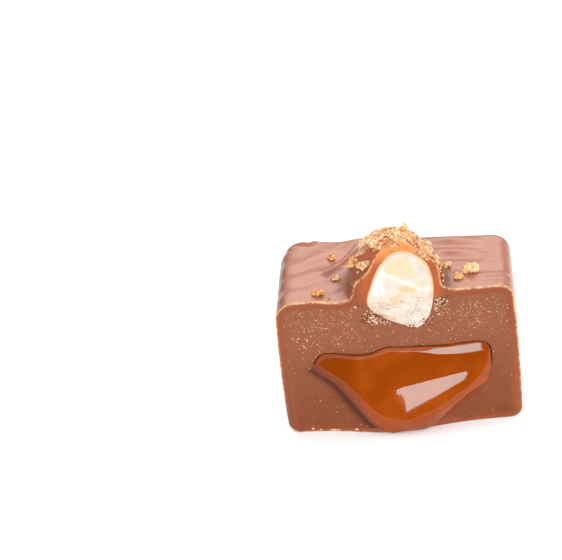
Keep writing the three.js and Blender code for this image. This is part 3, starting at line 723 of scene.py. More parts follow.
def nut_cutter(clearance):
    rings, back = nut_rings(clearance, CUT_REACH)
    return solid_of_rings("nut_cutter", rings, back, np.array([NUT["x"], -CUT_REACH, NUT["z"]]))


def nut_face_relief(x, z):
    """How far the nut's cut face stands out: nearly flat, a curved step, and a rough lower half."""
    at = np.column_stack([x, z, np.zeros(len(x))])
    rough = nut_rough(x, z)
    step, _ = line_distance(x, z, NUT_BAND)
    bend = 0.14 * smooth_step((step + 0.2) / 0.4)
    lumps = 0.08 * grain(at, 1.3, 5) + rough * (0.08 * grain(at, 0.45, 6) + 0.06 * grain(at, 0.22, 7))
    return 0.1 + bend + lumps


def nut_rough(x, z):
    """1 on the crumbled lower half of the nut's face, 0 above."""
    line = np.interp(x, *np.array(NUT_ROUGH_LINE).T)
    return smooth_step((line + 0.25 * np.sin(2.7 * x) - z) / 0.5)


def mark_nut(piece):
    """The kernel's patches: pale yellow, a white band that is a painted highlight along its step, warm and
    rough ones, and its skin and rim.
    """
    x, y, z = own_points(piece).T
    at = np.column_stack([x, y, z])
    wander = 0.3 * grain(at, 0.9, 15) + 0.15 * grain(at, 0.35, 16)
    inside, _ = line_distance(x, z, NUT_YELLOW)
    yellow = smooth_step((inside + 0.8 * wander + 0.15) / 0.3)
    # The white band along the step is a painted highlight; the kernel is also whiter on the left.
    band, _ = line_distance(x, z, NUT_BAND)
    left = smooth_step(-0.9 - x + 0.8 * wander) * smooth_step((z - 19.2) / 0.8)
    white = np.clip(0.55 * np.exp(-(((band + wander) / 0.28) ** 2)) + left, 0, 1)
    small = np.hypot((x - 1.9) / 1.25, (z - 20.2) / 0.55) + 1.3 * wander
    pale = np.hypot((x - 0.4) / 1.3, (z - 19.0) / 0.9) + 1.5 * wander
    warm = np.maximum(1 - smooth_step((small - 0.8) / 0.35), 0.6 - 0.6 * smooth_step((pale - 0.7) / 0.5))
    skin = np.maximum(0, 1 - np.hypot(x + 1.6, 0.9 * (z - 16.6)) / 2.4)
    skin = skin * smooth_step((16.45 - 0.45 * x - z) / 0.5)
    face = y < 0.1
    gap = gaps(np.column_stack([x, z]), closed_curve(NUT_FACE, 240)).min(axis=1)
    mark(piece, "rim", np.exp(-((gap / 0.36) ** 2)) * smooth_step((z - 17.5) / 2.5) * face)
    mark(piece, "yellow", yellow * face)
    mark(piece, "white", white * face)
    mark(piece, "warm", warm * face)
    mark(piece, "rough", nut_rough(x, z) * face)
    mark(piece, "skin", np.where(face, skin, 1.0))


def build_nut():
    rings, back = nut_rings(0.0, 0.0)
    front = rings[0][:, [0, 2]]
    into = inward(front)
    first = []
    for angle in (85, 45, 10):
        a = math.radians(angle)
        ring = front + into * (NUT["rim"] * (1 - math.cos(a)))
        relief = nut_face_relief(ring[:, 0], ring[:, 1])
        first.append(np.column_stack([ring[:, 0], NUT["rim"] * (1 - math.sin(a)) - relief, ring[:, 1]]))
    edge = first[0][:, [0, 2]]
    flat, faces = patch(edge, 0.13)
    cap = np.column_stack([flat[:, 0], -nut_face_relief(flat[:, 0], flat[:, 1]), flat[:, 1]])
    rim_y = first[0][:, 1]
    near = gaps(flat, edge)
    on_edge = near.min(axis=1) < 1e-3
    cap[on_edge, 1] = rim_y[near[on_edge].argmin(axis=1)]
    return solid_of_rings("nut_half", first + rings[1:], back, cap=(cap, faces))


# ---- the caramel ------------------------------------------------------------------------------

def gleam(x, z):
    """How much the steeper part of the face below the slanting line adds."""
    below = ((x - GLEAM["x"]) * GLEAM["rise"] - (z - GLEAM["z"])) / math.hypot(1, GLEAM["rise"])
    left, right = GLEAM["left"], GLEAM["right"]
    along = np.clip((x - GLEAM["x"]) / (right[0] - GLEAM["x"]), 0, 1)
    width = lerp(GLEAM["wide"], GLEAM["narrow"], along)
    part = np.clip(below / width, 0, 1.25)
    bent = np.where(part < 0.55, part, part - np.maximum(0, part - 0.55) ** 2 / 1.4)
    inside = smooth_step((x - left[0]) / (left[1] - left[0]))
    inside = inside * smooth_step((right[1] - x) / (right[1] - right[0]))
    return GLEAM["lean"] * width * bent * inside


def caramel_face(x, z):
    """How far the caramel's face stands in front of the cut plane."""
    lean = CARAMEL_FACE["lean"] * (CARAMEL_FACE["top"] - z)
    across = CARAMEL_FACE["to_right"] * (x - CARAMEL_FACE["left"])
    turned = CARAMEL_FACE["round"] * np.maximum(0, x - 3) ** 2
    return CARAMEL_FACE["thin"] + lean + across - turned + gleam(x, z)


def caramel_core(clearance, around, along=20):
    """The caramel inside the filling, narrower than its lip where the lip hangs over."""
    edge = closed_curve(CARAMEL_EDGE, around)[::-1]
    hang = np.clip(edge[:, 4], 0, 1)
    slack = 0.0
    if clearance:
        slack = (1 - hang) * (0.07 + 0.06 * grain(np.column_stack([edge[:, :2], hang]), 0.45, 11))
    outline = edge[:, :2] + inward(edge[:, :2]) * (CARAMEL["tuck"] * hang - clearance - slack)[:, None]
    outline[:, 1] = np.maximum(CARAMEL["floor"] - clearance, outline[:, 1])
    depth = CARAMEL["depth"] + clearance
    middle = np.array([CARAMEL["x"], CARAMEL["z"]])
    rings = []
    for behind in np.concatenate([[0.0, 0.25], stations(0.5, depth, along)[:-1]]):
        size = math.sqrt(1 - (behind / depth) ** CARAMEL["fullness"])
        ring = lerp(middle, outline, size)
        rings.append(place(ring[:, 0], ring[:, 1], behind))
    return rings, np.array([CARAMEL["x"], depth, CARAMEL["z"]])


def caramel_cutter(clearance, around=300):
    rings, back = caramel_core(clearance, around)
    mouth = rings[0].copy()
    mouth[:, 1] = -CUT_REACH
    middle = np.array([CARAMEL["x"], -CUT_REACH, CARAMEL["z"]])
    return solid_of_rings("caramel_cutter", [mouth] + rings, back, middle)


def mark_caramel(piece):
    """The underside of the lower left edge, which lies in its own shade, and the dull upper left lip."""
    x, _, z = own_points(piece).T
    high, _ = line_distance(x, z, HIGH_LEFT_EDGE)
    mark(piece, "dull", smooth_step((0.55 - np.abs(high)) / 0.3) * smooth_step((2.5 - x) / 3))
    low, _ = line_distance(x, z, LOW_LEFT_EDGE)
    mark(piece, "under", smooth_step((0.95 - np.abs(low)) / 0.4) * smooth_step((-2.4 - x) / 1.4))


def build_caramel():
    around = 460
    edge = closed_curve(CARAMEL_EDGE, around)[::-1]
    lip, ridge, hang = edge[:, :2], edge[:, 2:4], np.clip(edge[:, 4], 0, 1)
    foot = place(lip[:, 0], lip[:, 1], 0.0)[:, 1] + 0.1
    crown = -caramel_face(ridge[:, 0], ridge[:, 1])
    low = smooth_step((9.0 - lip[:, 1]) / 2.5)
    thin = lerp(0.4, 0.26, smooth_step((lip[:, 0] - 6) / 2))
    thick = lerp(thin, 0.8, low * smooth_step((lip[:, 0] + 2.5) / 2.5) + 0.33 * low)
    start = np.minimum(0.54, thick * (foot - crown))
    rings = []
    for share in (0, 0.015, 0.04, 0.08, 0.13, 0.2, 0.3, 0.4, 0.5, 0.6, 0.7, 0.8, 0.88, 0.94, 0.98, 1):
        flat = lerp(lip, ridge, share)
        turned = math.sqrt(1 - (1 - min(1, share / 0.13)) ** 2)
        bulge = 1 - (1 - share) ** (1.1 + 0.5 * hang)
        y = foot - start * turned + (crown - foot + start) * bulge
        rings.append(np.column_stack([flat[:, 0], y, flat[:, 1]]))
    flat, faces = patch(rings[-1][:, [0, 2]], 0.2)
    x, z = flat.T
    cap = np.column_stack([x, -caramel_face(x, z), z])
    core, back = caramel_core(0.0, around)
    return solid_of_rings("caramel_piece", rings[::-1] + core[1:], back, cap=(cap, faces))


# ---- crumbs and flecks ------------------------------------------------------------------------

def ball(steps):
    """Points and triangles of a unit ball."""
    work = bmesh.new()
    bmesh.ops.create_icosphere(work, subdivisions=steps, radius=1.0)
    points = np.array([tuple(v.co) for v in work.verts])
    faces = np.array([[v.index for v in f.verts] for f in work.faces])
    work.free()
    return points, faces


BALLS = {steps: ball(steps) for steps in (1, 2, 3)}


class Heap:
    """Collects many small solids in one mesh, with a tone for each."""

    def __init__(self, seed):
        self.random = np.random.default_rng(seed)
        self.points, self.faces, self.tones, self.depths = [], [], [], []
        self.count = 0

    def add(self, points, faces, tone):
        self.points.append(points)
        self.faces.append(faces + self.count)
        self.tones.append(np.full(len(points), tone))
        self.depths.append(np.zeros(len(points)))
        self.count += len(points)

    def grain(self, at, size, tone, steps=2, rough=0.3):
        """One rough grain, wider than it is high."""
        points, faces = BALLS[steps]
        draw = self.random
        turn = draw.uniform(-1, 1, 3) * 9
        lumps = 1 + rough * grain(points + turn, 0.75) + 0.5 * rough * grain(points + turn, 0.3)
        shape = points * lumps[:, None]
        for _ in range(5):
            side = draw.normal(size=3)
            side /= np.sqrt(side @ side)
            past = np.maximum(0, shape @ side - draw.uniform(0.35, 0.8))
            shape = shape - side * past[:, None] * 0.85
        shape = shape + side * (shape @ side)[:, None] * draw.uniform(-0.2, 0.5)
        self.add(shape * size * 0.58 + at, faces, tone)

    def crumb(self, at, up, size, tone, shape=(1.0, 1.0)):
        """A crumb: a core with smaller grains grown onto it."""
        draw = self.random
        first = len(self.points)
        at = at + up * size * 0.2
        self.grain(at, size * 0.68, tone, 3 if size > 0.85 else 2, 0.45)
        for _ in range(16 + int(size * 24)):
            away = draw.normal(size=3)
            away /= np.sqrt(away @ away)
            away = away - up * min(0.0, away @ up) * 0.7
            spot = at + away * size * draw.uniform(0.28, 0.5) * (shape[0], shape[1], 0.8)
            part = max(0.13, size * draw.uniform(0.1, 0.42))
            mood = tone + draw.uniform(-0.3, 0.3) + (0.5 if draw.uniform() < 0.12 else 0)
            self.grain(spot, part, np.clip(mood, 0, 1), 2 if part > 0.4 else 1, 0.4)
        # Painted shade: points deep inside the crumb, in its crevices, get a darker share.
        for i in range(first, len(self.points)):
            away = np.sqrt(((self.points[i] - at) ** 2).sum(axis=1)) / size
            self.depths[i] = 1 - smooth_step((away - 0.33) / 0.14)

    def fleck(self, at, length, width, height, angle, bend, tone):
        """A thin bent sliver lying on the cut."""
        t = np.linspace(-1, 1, 7)
        thick = np.sqrt(np.maximum(0, 1 - t ** 4)) + 0.02
        turn = angle + bend * t
        step = length / 2 / 3
        run = np.cumsum(np.stack([np.cos(turn), np.sin(turn)], -1) * step, axis=0)
        run -= run.mean(axis=0)
        side = np.stack([-np.sin(turn), np.cos(turn)], -1)
        rings = []
        for across, out in ((-1, 0.3), (-0.4, -1), (0.5, -0.8), (1, 0.3)):
            flat = run + side * (across * width / 2 * thick)[:, None]
            rings.append(np.column_stack([flat[:, 0], out * height * thick, flat[:, 1]]))
        points = np.stack(rings, 1).reshape(-1, 3) + at
        quads = np.array(ring_faces(7, 4))
        ends = np.array([[0, 1, 2, 3], [27, 26, 25, 24]])
        self.add(points, np.concatenate([quads, ends]), tone)

    def piece(self, name):
        faces = [f.tolist() for group in self.faces for f in group]
        heap = new_mesh(name, np.concatenate(self.points), faces)
        mark(heap, "tone", np.concatenate(self.tones))
        mark(heap, "deep", np.concatenate(self.depths))
        return heap


def touch(piece, start, towards):
    """Where a line from a point first meets a piece, and the way it faces there."""
    origin = (Vector(start) + Vector(CENTRED)) * MM
    hit, at, facing, _ = piece.ray_cast(origin, Vector(towards).normalized())
    if not hit:
        return None, None
    return np.array(at) / MM - CENTRED, np.array(facing)


def seat(piece, start, towards):
    """Like touch, for a line that has to meet the piece."""
    at, facing = touch(piece, start, towards)
    if at is None:
        raise RuntimeError(f"{piece.name} isn't met from {tuple(start)}")
    return at, facing


# ---- finishes ---------------------------------------------------------------------------------

class Wire:
    """A socket whose value can be used in sums; each operator adds its Math node."""

    def __init__(self, sheet, socket):
        self.sheet, self.socket = sheet, socket

    def math(self, operation, *values):
        return self.sheet.add("ShaderNodeMath", {"operation": operation}, dict(enumerate(values)))

    def __add__(self, other):
        return self.math("ADD", self, other)

    def __radd__(self, other):
        return self.math("ADD", other, self)

    def __sub__(self, other):
        return self.math("SUBTRACT", self, other)

    def __rsub__(self, other):
        return self.math("SUBTRACT", other, self)

    def __mul__(self, other):
        return self.math("MULTIPLY", self, other)

    def __rmul__(self, other):
        return self.math("MULTIPLY", other, self)

    def __truediv__(self, other):
        return self.math("DIVIDE", self, other)

    def __rtruediv__(self, other):
        return self.math("DIVIDE", other, self)

    def __pow__(self, other):
        return self.math("POWER", self, other)

    def __rpow__(self, other):
        return self.math("POWER", other, self)


class Finish:
    """A material's sheet of nodes."""

    def __init__(self, name, tree=None):
        if tree is None:
            self.material = bpy.data.materials.new(name)
            self.material.use_nodes = True
            tree = self.material.node_tree
        self.tree = tree
        self.tree.nodes.clear()

    def add(self, kind, settings=None, sockets=None, output=0):
        """Adds a node: its settings first, then the values or links of its sockets."""
        node = self.tree.nodes.new(kind)
        for key, value in (settings or {}).items():
            setattr(node, key, value)
        for key, value in (sockets or {}).items():
            if isinstance(value, Wire):
                self.tree.links.new(value.socket, node.inputs[key])
            else:
                node.inputs[key].default_value = value
        return Wire(self, node.outputs[output])

    def place(self):
        """The chocolate's own coordinates in millimetres."""
        where = self.add("ShaderNodeTexCoord", output="Object")
        scaled = self.add("ShaderNodeVectorMath", {"operation": "SCALE"}, {0: where, "Scale": 1 / MM})
        return self.add("ShaderNodeVectorMath", {"operation": "SUBTRACT"}, {0: scaled, 1: CENTRED})

    def axes(self, where):
        parts = self.add("ShaderNodeSeparateXYZ", None, {0: where})
        node = parts.socket.node
        return [Wire(self, node.outputs[i]) for i in range(3)]

    def noise(self, where, size, detail=2.0, rough=0.5):
        return self.add("ShaderNodeTexNoise", None, {
            "Vector": where, "Scale": 1 / size, "Detail": detail, "Roughness": rough})

    def cells(self, where, size):
        """The distance to the middle of the nearest cell."""
        return self.add("ShaderNodeTexVoronoi", None, {"Vector": where, "Scale": 1 / size}, "Distance")

    def steps(self, value, low, high):
        """0 below low and 1 above high, smooth between; falls where low is above high."""
        return self.add("ShaderNodeMapRange", {"interpolation_type": "SMOOTHSTEP"}, {
            "Value": value, "From Min": low, "From Max": high})

    def blend(self, share, under, over):
        """One colour over another; either may come from another node."""
        under, over = (c if isinstance(c, Wire) else rgba(c) for c in (under, over))
        return self.add("ShaderNodeMix", {"data_type": "RGBA"}, {0: share, 6: under, 7: over}, 2)

    def paint(self, base, *layers):
        """Lays colours over a base, each with its share."""
        for share, colour in layers:
            base = self.blend(share, base, colour)
        return base

    def saved(self, name):
        return self.add("ShaderNodeAttribute", {"attribute_name": name}, output="Fac")

    def bump(self, height, distance, under=None):
        sockets = {"Height": height, "Distance": distance * MM}
        if under is not None:
            sockets["Normal"] = under
        return self.add("ShaderNodeBump", None, sockets)

    def finish(self, depths=None, **sockets):
        """The surface; depths in millimetres are how far red, green and blue light goes in."""
        if depths is not None:
            sockets["Subsurface_Radius"], sockets["Subsurface_Scale"] = [d * MM for d in depths], 1.0
        sockets = {name.replace("_", " "): value for name, value in sockets.items()}
        self.add_output(self.add("ShaderNodeBsdfPrincipled", None, sockets))
        return self.material

    def add_output(self, surface, kind="ShaderNodeOutputMaterial"):
        node = self.tree.nodes.new(kind)
        self.tree.links.new(surface.socket, node.inputs[0])


def rgba(colour):
    return (*tuple(colour)[:3], 1.0)


def dimmed(colour, by):
    return [c * by for c in colour]


def hexa(code):
    """A linear colour from a web colour."""
    parts = [int(code[i:i + 2], 16) / 255 for i in (0, 2, 4)]
    return tuple(c / 12.92 if c <= 0.04045 else ((c + 0.055) / 1.055) ** 2.4 for c in parts)


def coat_finish(look):
    sheet = Finish("milk_chocolate")
    where = sheet.place()
    x, y, z = sheet.axes(where)
    steps = sheet.steps
    cloud = sheet.noise(where, 5.0, 3.0)
    fine = sheet.noise(where, 0.35, 3.0, 0.6)
    # Where shade is painted in the folds at the mound's left and right feet.
    fold = (x + 6.9 + 0.38 * (y - 5.0)) / 2.1
    foot_fold = (x - 6.7) / 1.7
    fold_shade = steps(fold * fold, 1.0, 0.1) * steps(y, 12.5, 7.0)
    foot_fold_shade = steps(foot_fold * foot_fold, 1.0, 0.1) * steps(y, 7.0, 4.5)
    front = steps(y, 3.8, 0.4) * (0.3 + 0.45 * steps(x, 3.0, 6.0) * steps(x, 9.0, 6.5))
    skin = sheet.paint(
        dimmed(look.colour, 0.9),
        (steps(cloud, 0.3, 0.7), look.colour),
        # Painted shade: darker towards the base.
        (steps(z, 15.0, 3.0) * 0.6, look.low_shade_colour),
        # Painted shade in the fold at the mound's left foot.
        (fold_shade * 0.5, look.fold_shade_colour),
        (front, look.front_colour),
        (steps(z, 22.8, 25.5) * 0.7, look.crest_colour),
        # Painted shade down the far left side.
        (steps(x, -14.0, -15.2) * 0.85, look.low_shade_colour),
        # Painted shade in the fold at the mound's right foot.
        (foot_fold_shade * 0.95, look.low_shade_colour))
    cut, edge = sheet.saved("cut"), sheet.saved("edge")
    grit = sheet.noise(where, 0.5, 4.0, 0.7)
    across, up = (x - NUT["x"]) / 4.3, (z - NUT["z"]) / 5.7
    round_nut = (across * across + up * up) ** 0.5
    rim = sheet.paint(
        look.cut_colour,
        (steps(grit, 0.35, 0.75), dimmed(look.cut_colour, 1.15)),
        # Painted shade on the cut at the lower left.
        (steps(z, 14.0, 3.0) * steps(x, -12.5, -14.0) * 0.8, look.low_shade_colour),
        (steps(round_nut, 1.4, 1.03) * steps(z, 16.5, 18.5), look.glow_colour),
        (steps(round_nut, 1.6, 1.15) * steps(z, 23.2, 26.0) * 0.85, look.crown_colour))
    # Where the painted highlight along the cut's edge shows: strongest high up, and along the foot at the
    # lower left.
    foot = steps(x, -4.0, -6.5) * steps(z, 1.6, 0.6)
    edge_highlight_share = sheet.add("ShaderNodeMath", {"operation": "MAXIMUM"}, {0: steps(z, -2.0, 9.0), 1: foot})
    broken = steps(sheet.noise(where, 0.55, 3.0, 0.7), 0.36, 0.56)
    dust = steps(sheet.cells(where, 1.15), 0.06, 0.035) * steps(sheet.noise(where, 2.3), 0.52, 0.6)
    base = sheet.paint(
        skin,
        (cut, rim),
        # Painted highlight along the cut's rounded edge, broken up like chips.
        (edge * broken * edge_highlight_share * 0.85, look.edge_colour),
        (dust * (1 - cut) * 0.8, look.dust_colour))
    rough = look.roughness + 0.1 * fine + 0.24 * cut
    relief = sheet.bump(fine, 0.012, sheet.bump(cloud, 0.3))
    return sheet.finish((1.2, 0.4, 0.15), Subsurface_Weight=0.12, Base_Color=base, Roughness=rough,
                        Normal=relief, IOR=1.48)


def filling_finish(look):
    sheet = Finish("nut_paste")
    where = sheet.place()
    z = sheet.axes(where)[2]
    steps = sheet.steps
    cloud = sheet.noise(where, 3.2, 3.0)
    fine = sheet.noise(where, 0.2, 3.0, 0.65)
    upper = steps(z, 9.0, 15.0)
    area = steps(sheet.noise(where, 2.6), 0.46, 0.6) * (0.15 + 0.85 * upper)
    specks = steps(sheet.cells(where, 0.62), 0.17, 0.1) * area
    body = sheet.paint(
        # Painted shade: the filling darker and more saturated towards the base.
        look.low_shade_colour,
        (steps(z, 0.5, 18.5), look.colour),
        (steps(cloud, 0.35, 0.7) * 0.35, dimmed(look.colour, 0.86)),
        (sheet.saved("edge") * 0.7, look.edge_colour),
        # Painted shadow under the caramel's lower left edge.
        (sheet.saved("damp") * 0.85, look.caramel_shadow_colour),
        (steps(fine, 0.4, 0.7) * (0.04 + 0.1 * upper), look.speck_colour),
        (specks * 0.5, look.speck_colour))
    return sheet.finish((1.0, 0.4, 0.2), Subsurface_Weight=0.1, Base_Color=body, Roughness=0.62,
                        Normal=sheet.bump(fine, 0.02), IOR=1.45, Specular_IOR_Level=0.3)


def nut_finish(look):
    sheet = Finish("nut_kernel")
    where = sheet.place()
    steps, saved = sheet.steps, sheet.saved
    cloud = sheet.noise(where, 1.1, 4.0, 0.6)
    fine = sheet.noise(where, 0.2, 3.0, 0.7)
    patchy = steps(sheet.noise(where, 1.2), 0.38, 0.58)
    dots = steps(sheet.noise(where, 0.13, 2.0, 0.6), 0.68, 0.76)
    base = sheet.paint(
        look.colour,
        (steps(cloud, 0.35, 0.65), look.pale_colour),
        (saved("yellow") * 0.85, look.yellow_colour),
        (saved("warm") * 0.75, look.warm_colour),
        # Painted highlight along the white band, and the whiter left side.
        (saved("white") * 0.9, look.white_and_highlight_colour),
        (steps(fine, 0.48, 0.6) * saved("rough") * patchy * 0.7, look.speck_colour),
        (dots * 0.4, look.speck_colour),
        (saved("skin") * (0.55 + 0.45 * fine), look.skin_colour),
        (saved("rim") * 0.85, look.rim_colour))
    return sheet.finish((1.6, 1.0, 0.5), Subsurface_Weight=0.2, Base_Color=base, Roughness=0.5,
                        Normal=sheet.bump(fine, 0.03), IOR=1.45)


def caramel_finish(look):
    sheet = Finish("soft_caramel")
    where = sheet.place()
    x = sheet.axes(where)[0]
    under, dull = sheet.saved("under"), sheet.saved("dull")
    base = sheet.paint(
        look.colour,
        (sheet.steps(sheet.noise(where, 4.0), 0.3, 0.7), look.deep_colour),
        (sheet.steps(x, -4.5, -8.5) * 0.8, dimmed(look.deep_colour, 0.8)),
        # Painted shade under the lower left edge.
        (under * 0.85, dimmed(look.deep_colour, 0.62)))
    relief = sheet.bump(sheet.noise(where, 0.3), 0.003, sheet.bump(sheet.noise(where, 1.6, 1.0), 0.01))
    rough = look.roughness + 0.25 * under + 0.5 * dull
    return sheet.finish((3.0, 0.8, 0.2), Subsurface_Weight=0.15, Base_Color=base, Roughness=rough,
                        Normal=relief, IOR=1.46, Specular_IOR_Level=0.32)


def crumb_finish(look):
    sheet = Finish("baked_crumbs")
    where = sheet.place()
    steps, tone = sheet.steps, sheet.saved("tone")
    fine = sheet.noise(where, 0.16, 3.0, 0.65)
    pores = steps(sheet.noise(where, 0.34, 3.0, 0.7), 0.46, 0.34)
    broken = steps(sheet.noise(where, 1.3), 0.42, 0.58)
    base = sheet.paint(
        look.pale_colour,
        (steps(tone, 0.0, 0.55), look.colour),
        (steps(tone, 0.6, 1.0), look.red_colour),
        (steps(fine, 0.52, 0.72) * 0.45, look.pale_colour),
        # Pores, and painted shade in the crevices.
        (pores * (0.15 + 0.5 * broken), look.pore_and_shade_colour),
        (sheet.saved("deep") * 0.55, look.pore_and_shade_colour))
    return sheet.finish((0.5, 0.3, 0.1), Subsurface_Weight=0.12, Base_Color=base, Roughness=0.55,
                        Normal=sheet.bump(fine, 0.05), IOR=1.45)


def fleck_finish(name, colour, other):
    sheet = Finish(name)
    fine = sheet.noise(sheet.place(), 0.12, 2.0, 0.6)
    share = sheet.steps(sheet.saved("tone") + (fine - 0.5) * 0.5, 0.1, 0.9)
    return sheet.finish(Base_Color=sheet.blend(share, colour, other), Roughness=0.4 + 0.2 * fine,
                        Normal=sheet.bump(fine, 0.02), IOR=1.45)


# ---- settings ---------------------------------------------------------------------------------

def colour_setting(name, description, code):
    return FloatVectorProperty(name=name, description=description, default=hexa(code), subtype="COLOR",
                               size=3, min=0, max=1)


class CoatLook(bpy.types.PropertyGroup):
    colour: colour_setting("Skin colour", "Colour of the coat's outside", "A46046")
    # The coat's low colour is painted shade: darker towards the base, down the far left side, on the cut at
    # the lower left and in the fold at the mound's right foot.
    low_shade_colour: colour_setting("Low colour", "Colour of the coat's outside near the base", "723618")
    # Painted shade in the fold at the mound's left foot.
    fold_shade_colour: colour_setting("Fold colour", "Colour of the coat in the fold at the mound's foot", "7C4433")
    front_colour: colour_setting("Front colour", "Colour of the coat's top near the cut", "9C5230")
    crest_colour: colour_setting("Crest colour", "Colour of the coat between the crumbs", "BE6238")
    cut_colour: colour_setting("Cut colour", "Colour of the coat where it is cut", "8F3F17")
    glow_colour: colour_setting("Glow colour", "Colour of the thin coat round the nut", "B6521C")
    crown_colour: colour_setting("Crown colour", "Colour of the thin coat over the nut's top", "FC9752")
    # The edge colour is a painted highlight along the cut's rounded edge, broken up like chips.
    edge_colour: colour_setting("Edge colour", "Colour of the broken edge round the cut", "F4BC84")
    dust_colour: colour_setting("Dust colour", "Colour of the specks of nut dust on the skin", "F0D2B4")
    roughness: FloatProperty(name="Roughness", description="Roughness of the coat's skin", default=0.28,
                             min=0, max=1, subtype="FACTOR")
    wave_height: FloatProperty(name="Wave height", description="Height of the slow waves on sides and back",
                               default=0.00016, min=0, max=0.0005, unit="LENGTH", precision=5)


class FillingLook(bpy.types.PropertyGroup):
    colour: colour_setting("Upper colour", "Colour of the filling near the top", "8F4F34")
    # The filling's lower colour is painted shade: darker and more saturated towards the base.
    low_shade_colour: colour_setting("Lower colour", "Colour of the filling near the base", "7B3815")
    edge_colour: colour_setting("Edge colour", "Colour of the filling where it meets the coat", "904724")
    # Painted shadow that the caramel's lower left edge casts on the filling.
    caramel_shadow_colour: colour_setting("Damp colour", "Colour of the filling under the caramel's edge", "451200")
    speck_colour: colour_setting("Speck colour", "Colour of the small nut specks", "DBA37B")


class NutLook(bpy.types.PropertyGroup):
    colour: colour_setting("Kernel colour", "Main colour of the cut kernel", "E2C7B3")
    pale_colour: colour_setting("Pale colour", "Palest colour of the kernel", "E9D7CA")
    yellow_colour: colour_setting("Yellow colour", "Pale yellow patch in the upper half", "E9CDA3")
    warm_colour: colour_setting("Warm colour", "Small orange patch under the white band", "F0B783")
    # The white band is a painted highlight along the step in the kernel's face.
    white_and_highlight_colour: colour_setting("White colour", "White band that sweeps across the cut", "FBEEE6")
    speck_colour: colour_setting("Speck colour", "Grey brown grit in the lower half", "8E7662")
    skin_colour: colour_setting("Skin colour", "Skin of the kernel at its edge", "C98F4C")
    rim_colour: colour_setting("Rim colour", "Kernel just inside its upper edge", "F0A860")


class CaramelLook(bpy.types.PropertyGroup):
    colour: colour_setting("Colour", "Main colour of the caramel", "A0450C")
    deep_colour: colour_setting("Deep colour", "Darker colour of the caramel", "903A06")
    roughness: FloatProperty(name="Roughness", description="Roughness of the wet surface", default=0.07,
                             min=0, max=1, subtype="FACTOR")


class CrumbLook(bpy.types.PropertyGroup):
    colour: colour_setting("Colour", "Main colour of the baked crumbs", "FFB66F")
    pale_colour: colour_setting("Pale colour", "Colour of the palest crumbs", "FFE6BE")
    red_colour: colour_setting("Red colour", "Colour of the crumbs smeared with coat", "DE7647")
    # This colour paints both the pores and the shade in the crevices.
    pore_and_shade_colour: colour_setting("Dark colour", "Colour of the pores", "A0481C")
    growth: FloatProperty(name="Growth", description="Size of the crumbs on the mound against their list",
                          default=1.3, min=0.5, max=2)


class FleckLook(bpy.types.PropertyGroup):
    colour: colour_setting("Sliver colour", "Colour of the pale nut slivers", "FFD2B0")
    dull_colour: colour_setting("Dull colour", "Colour of the duller slivers", "D08A5C")
    skin_colour: colour_setting("Skin colour", "Colour of the bits of nut skin", "6A2A14")
    count: IntProperty(name="Slivers", description="How many slivers lie on the cut", default=600,
                       min=0, max=3000)


class StudioLook(bpy.types.PropertyGroup):
    floor_colour: colour_setting("Floor colour", "Colour of the table", "F8F8F8")


# ---- operators --------------------------------------------------------------------------------

def rim_marks(piece, rim):
    """How much each point belongs to the cut face, and to the band along its rounded edge, which carries a
    painted highlight broken up like chips.
    """
    points = own_points(piece)
    x, y, z = points.T
    behind = y + sag(x, z, np.zeros(len(x)))
    near = np.flatnonzero(behind < 0.8)
    away = np.full(len(x), 9.0)
    flat = points[near][:, [0, 2]]
    for start in range(0, len(near), BATCH):
        part = slice(start, start + BATCH)
        away[near[part]] = gaps(flat[part], rim).min(axis=1)
    outline = np.hypot(away, np.maximum(behind, 0))
    return smooth_step((0.16 - behind) / 0.14) * (away > 0.05), np.exp(-((outline / 0.16) ** 2))


class CHOCOLATE_OT_coat(bpy.types.Operator):
    """Builds the chocolate coat with its mound, waves and cut rim"""

    bl_idname = "chocolate.coat"
    bl_label = "Coat"
    bl_options = {"REGISTER", "UNDO"}

    def execute(self, context):
        look = context.scene.chocolate_coat
        piece = outer_skin()
        points = own_points(piece)
        piece.data.update()
        normals = np.empty(len(piece.data.vertices) * 3)
        piece.data.vertices.foreach_get("normal", normals)
        lift = side_waves(points, look.wave_height / MM)
        move_points(piece, points + normals.reshape(-1, 3) * lift[:, None])
        carve(piece, core_solid("hollow", 60, 40, CUT_REACH), nut_cutter(0.02))
        cut, edge = rim_marks(piece, section(0.0, COAT_STEPS))
        mark(piece, "cut", cut)
        mark(piece, "edge", edge)
        shade(piece, 50)
        hand_over(piece, coat_finish(look), "milk_chocolate", "coating")
        return {"FINISHED"}


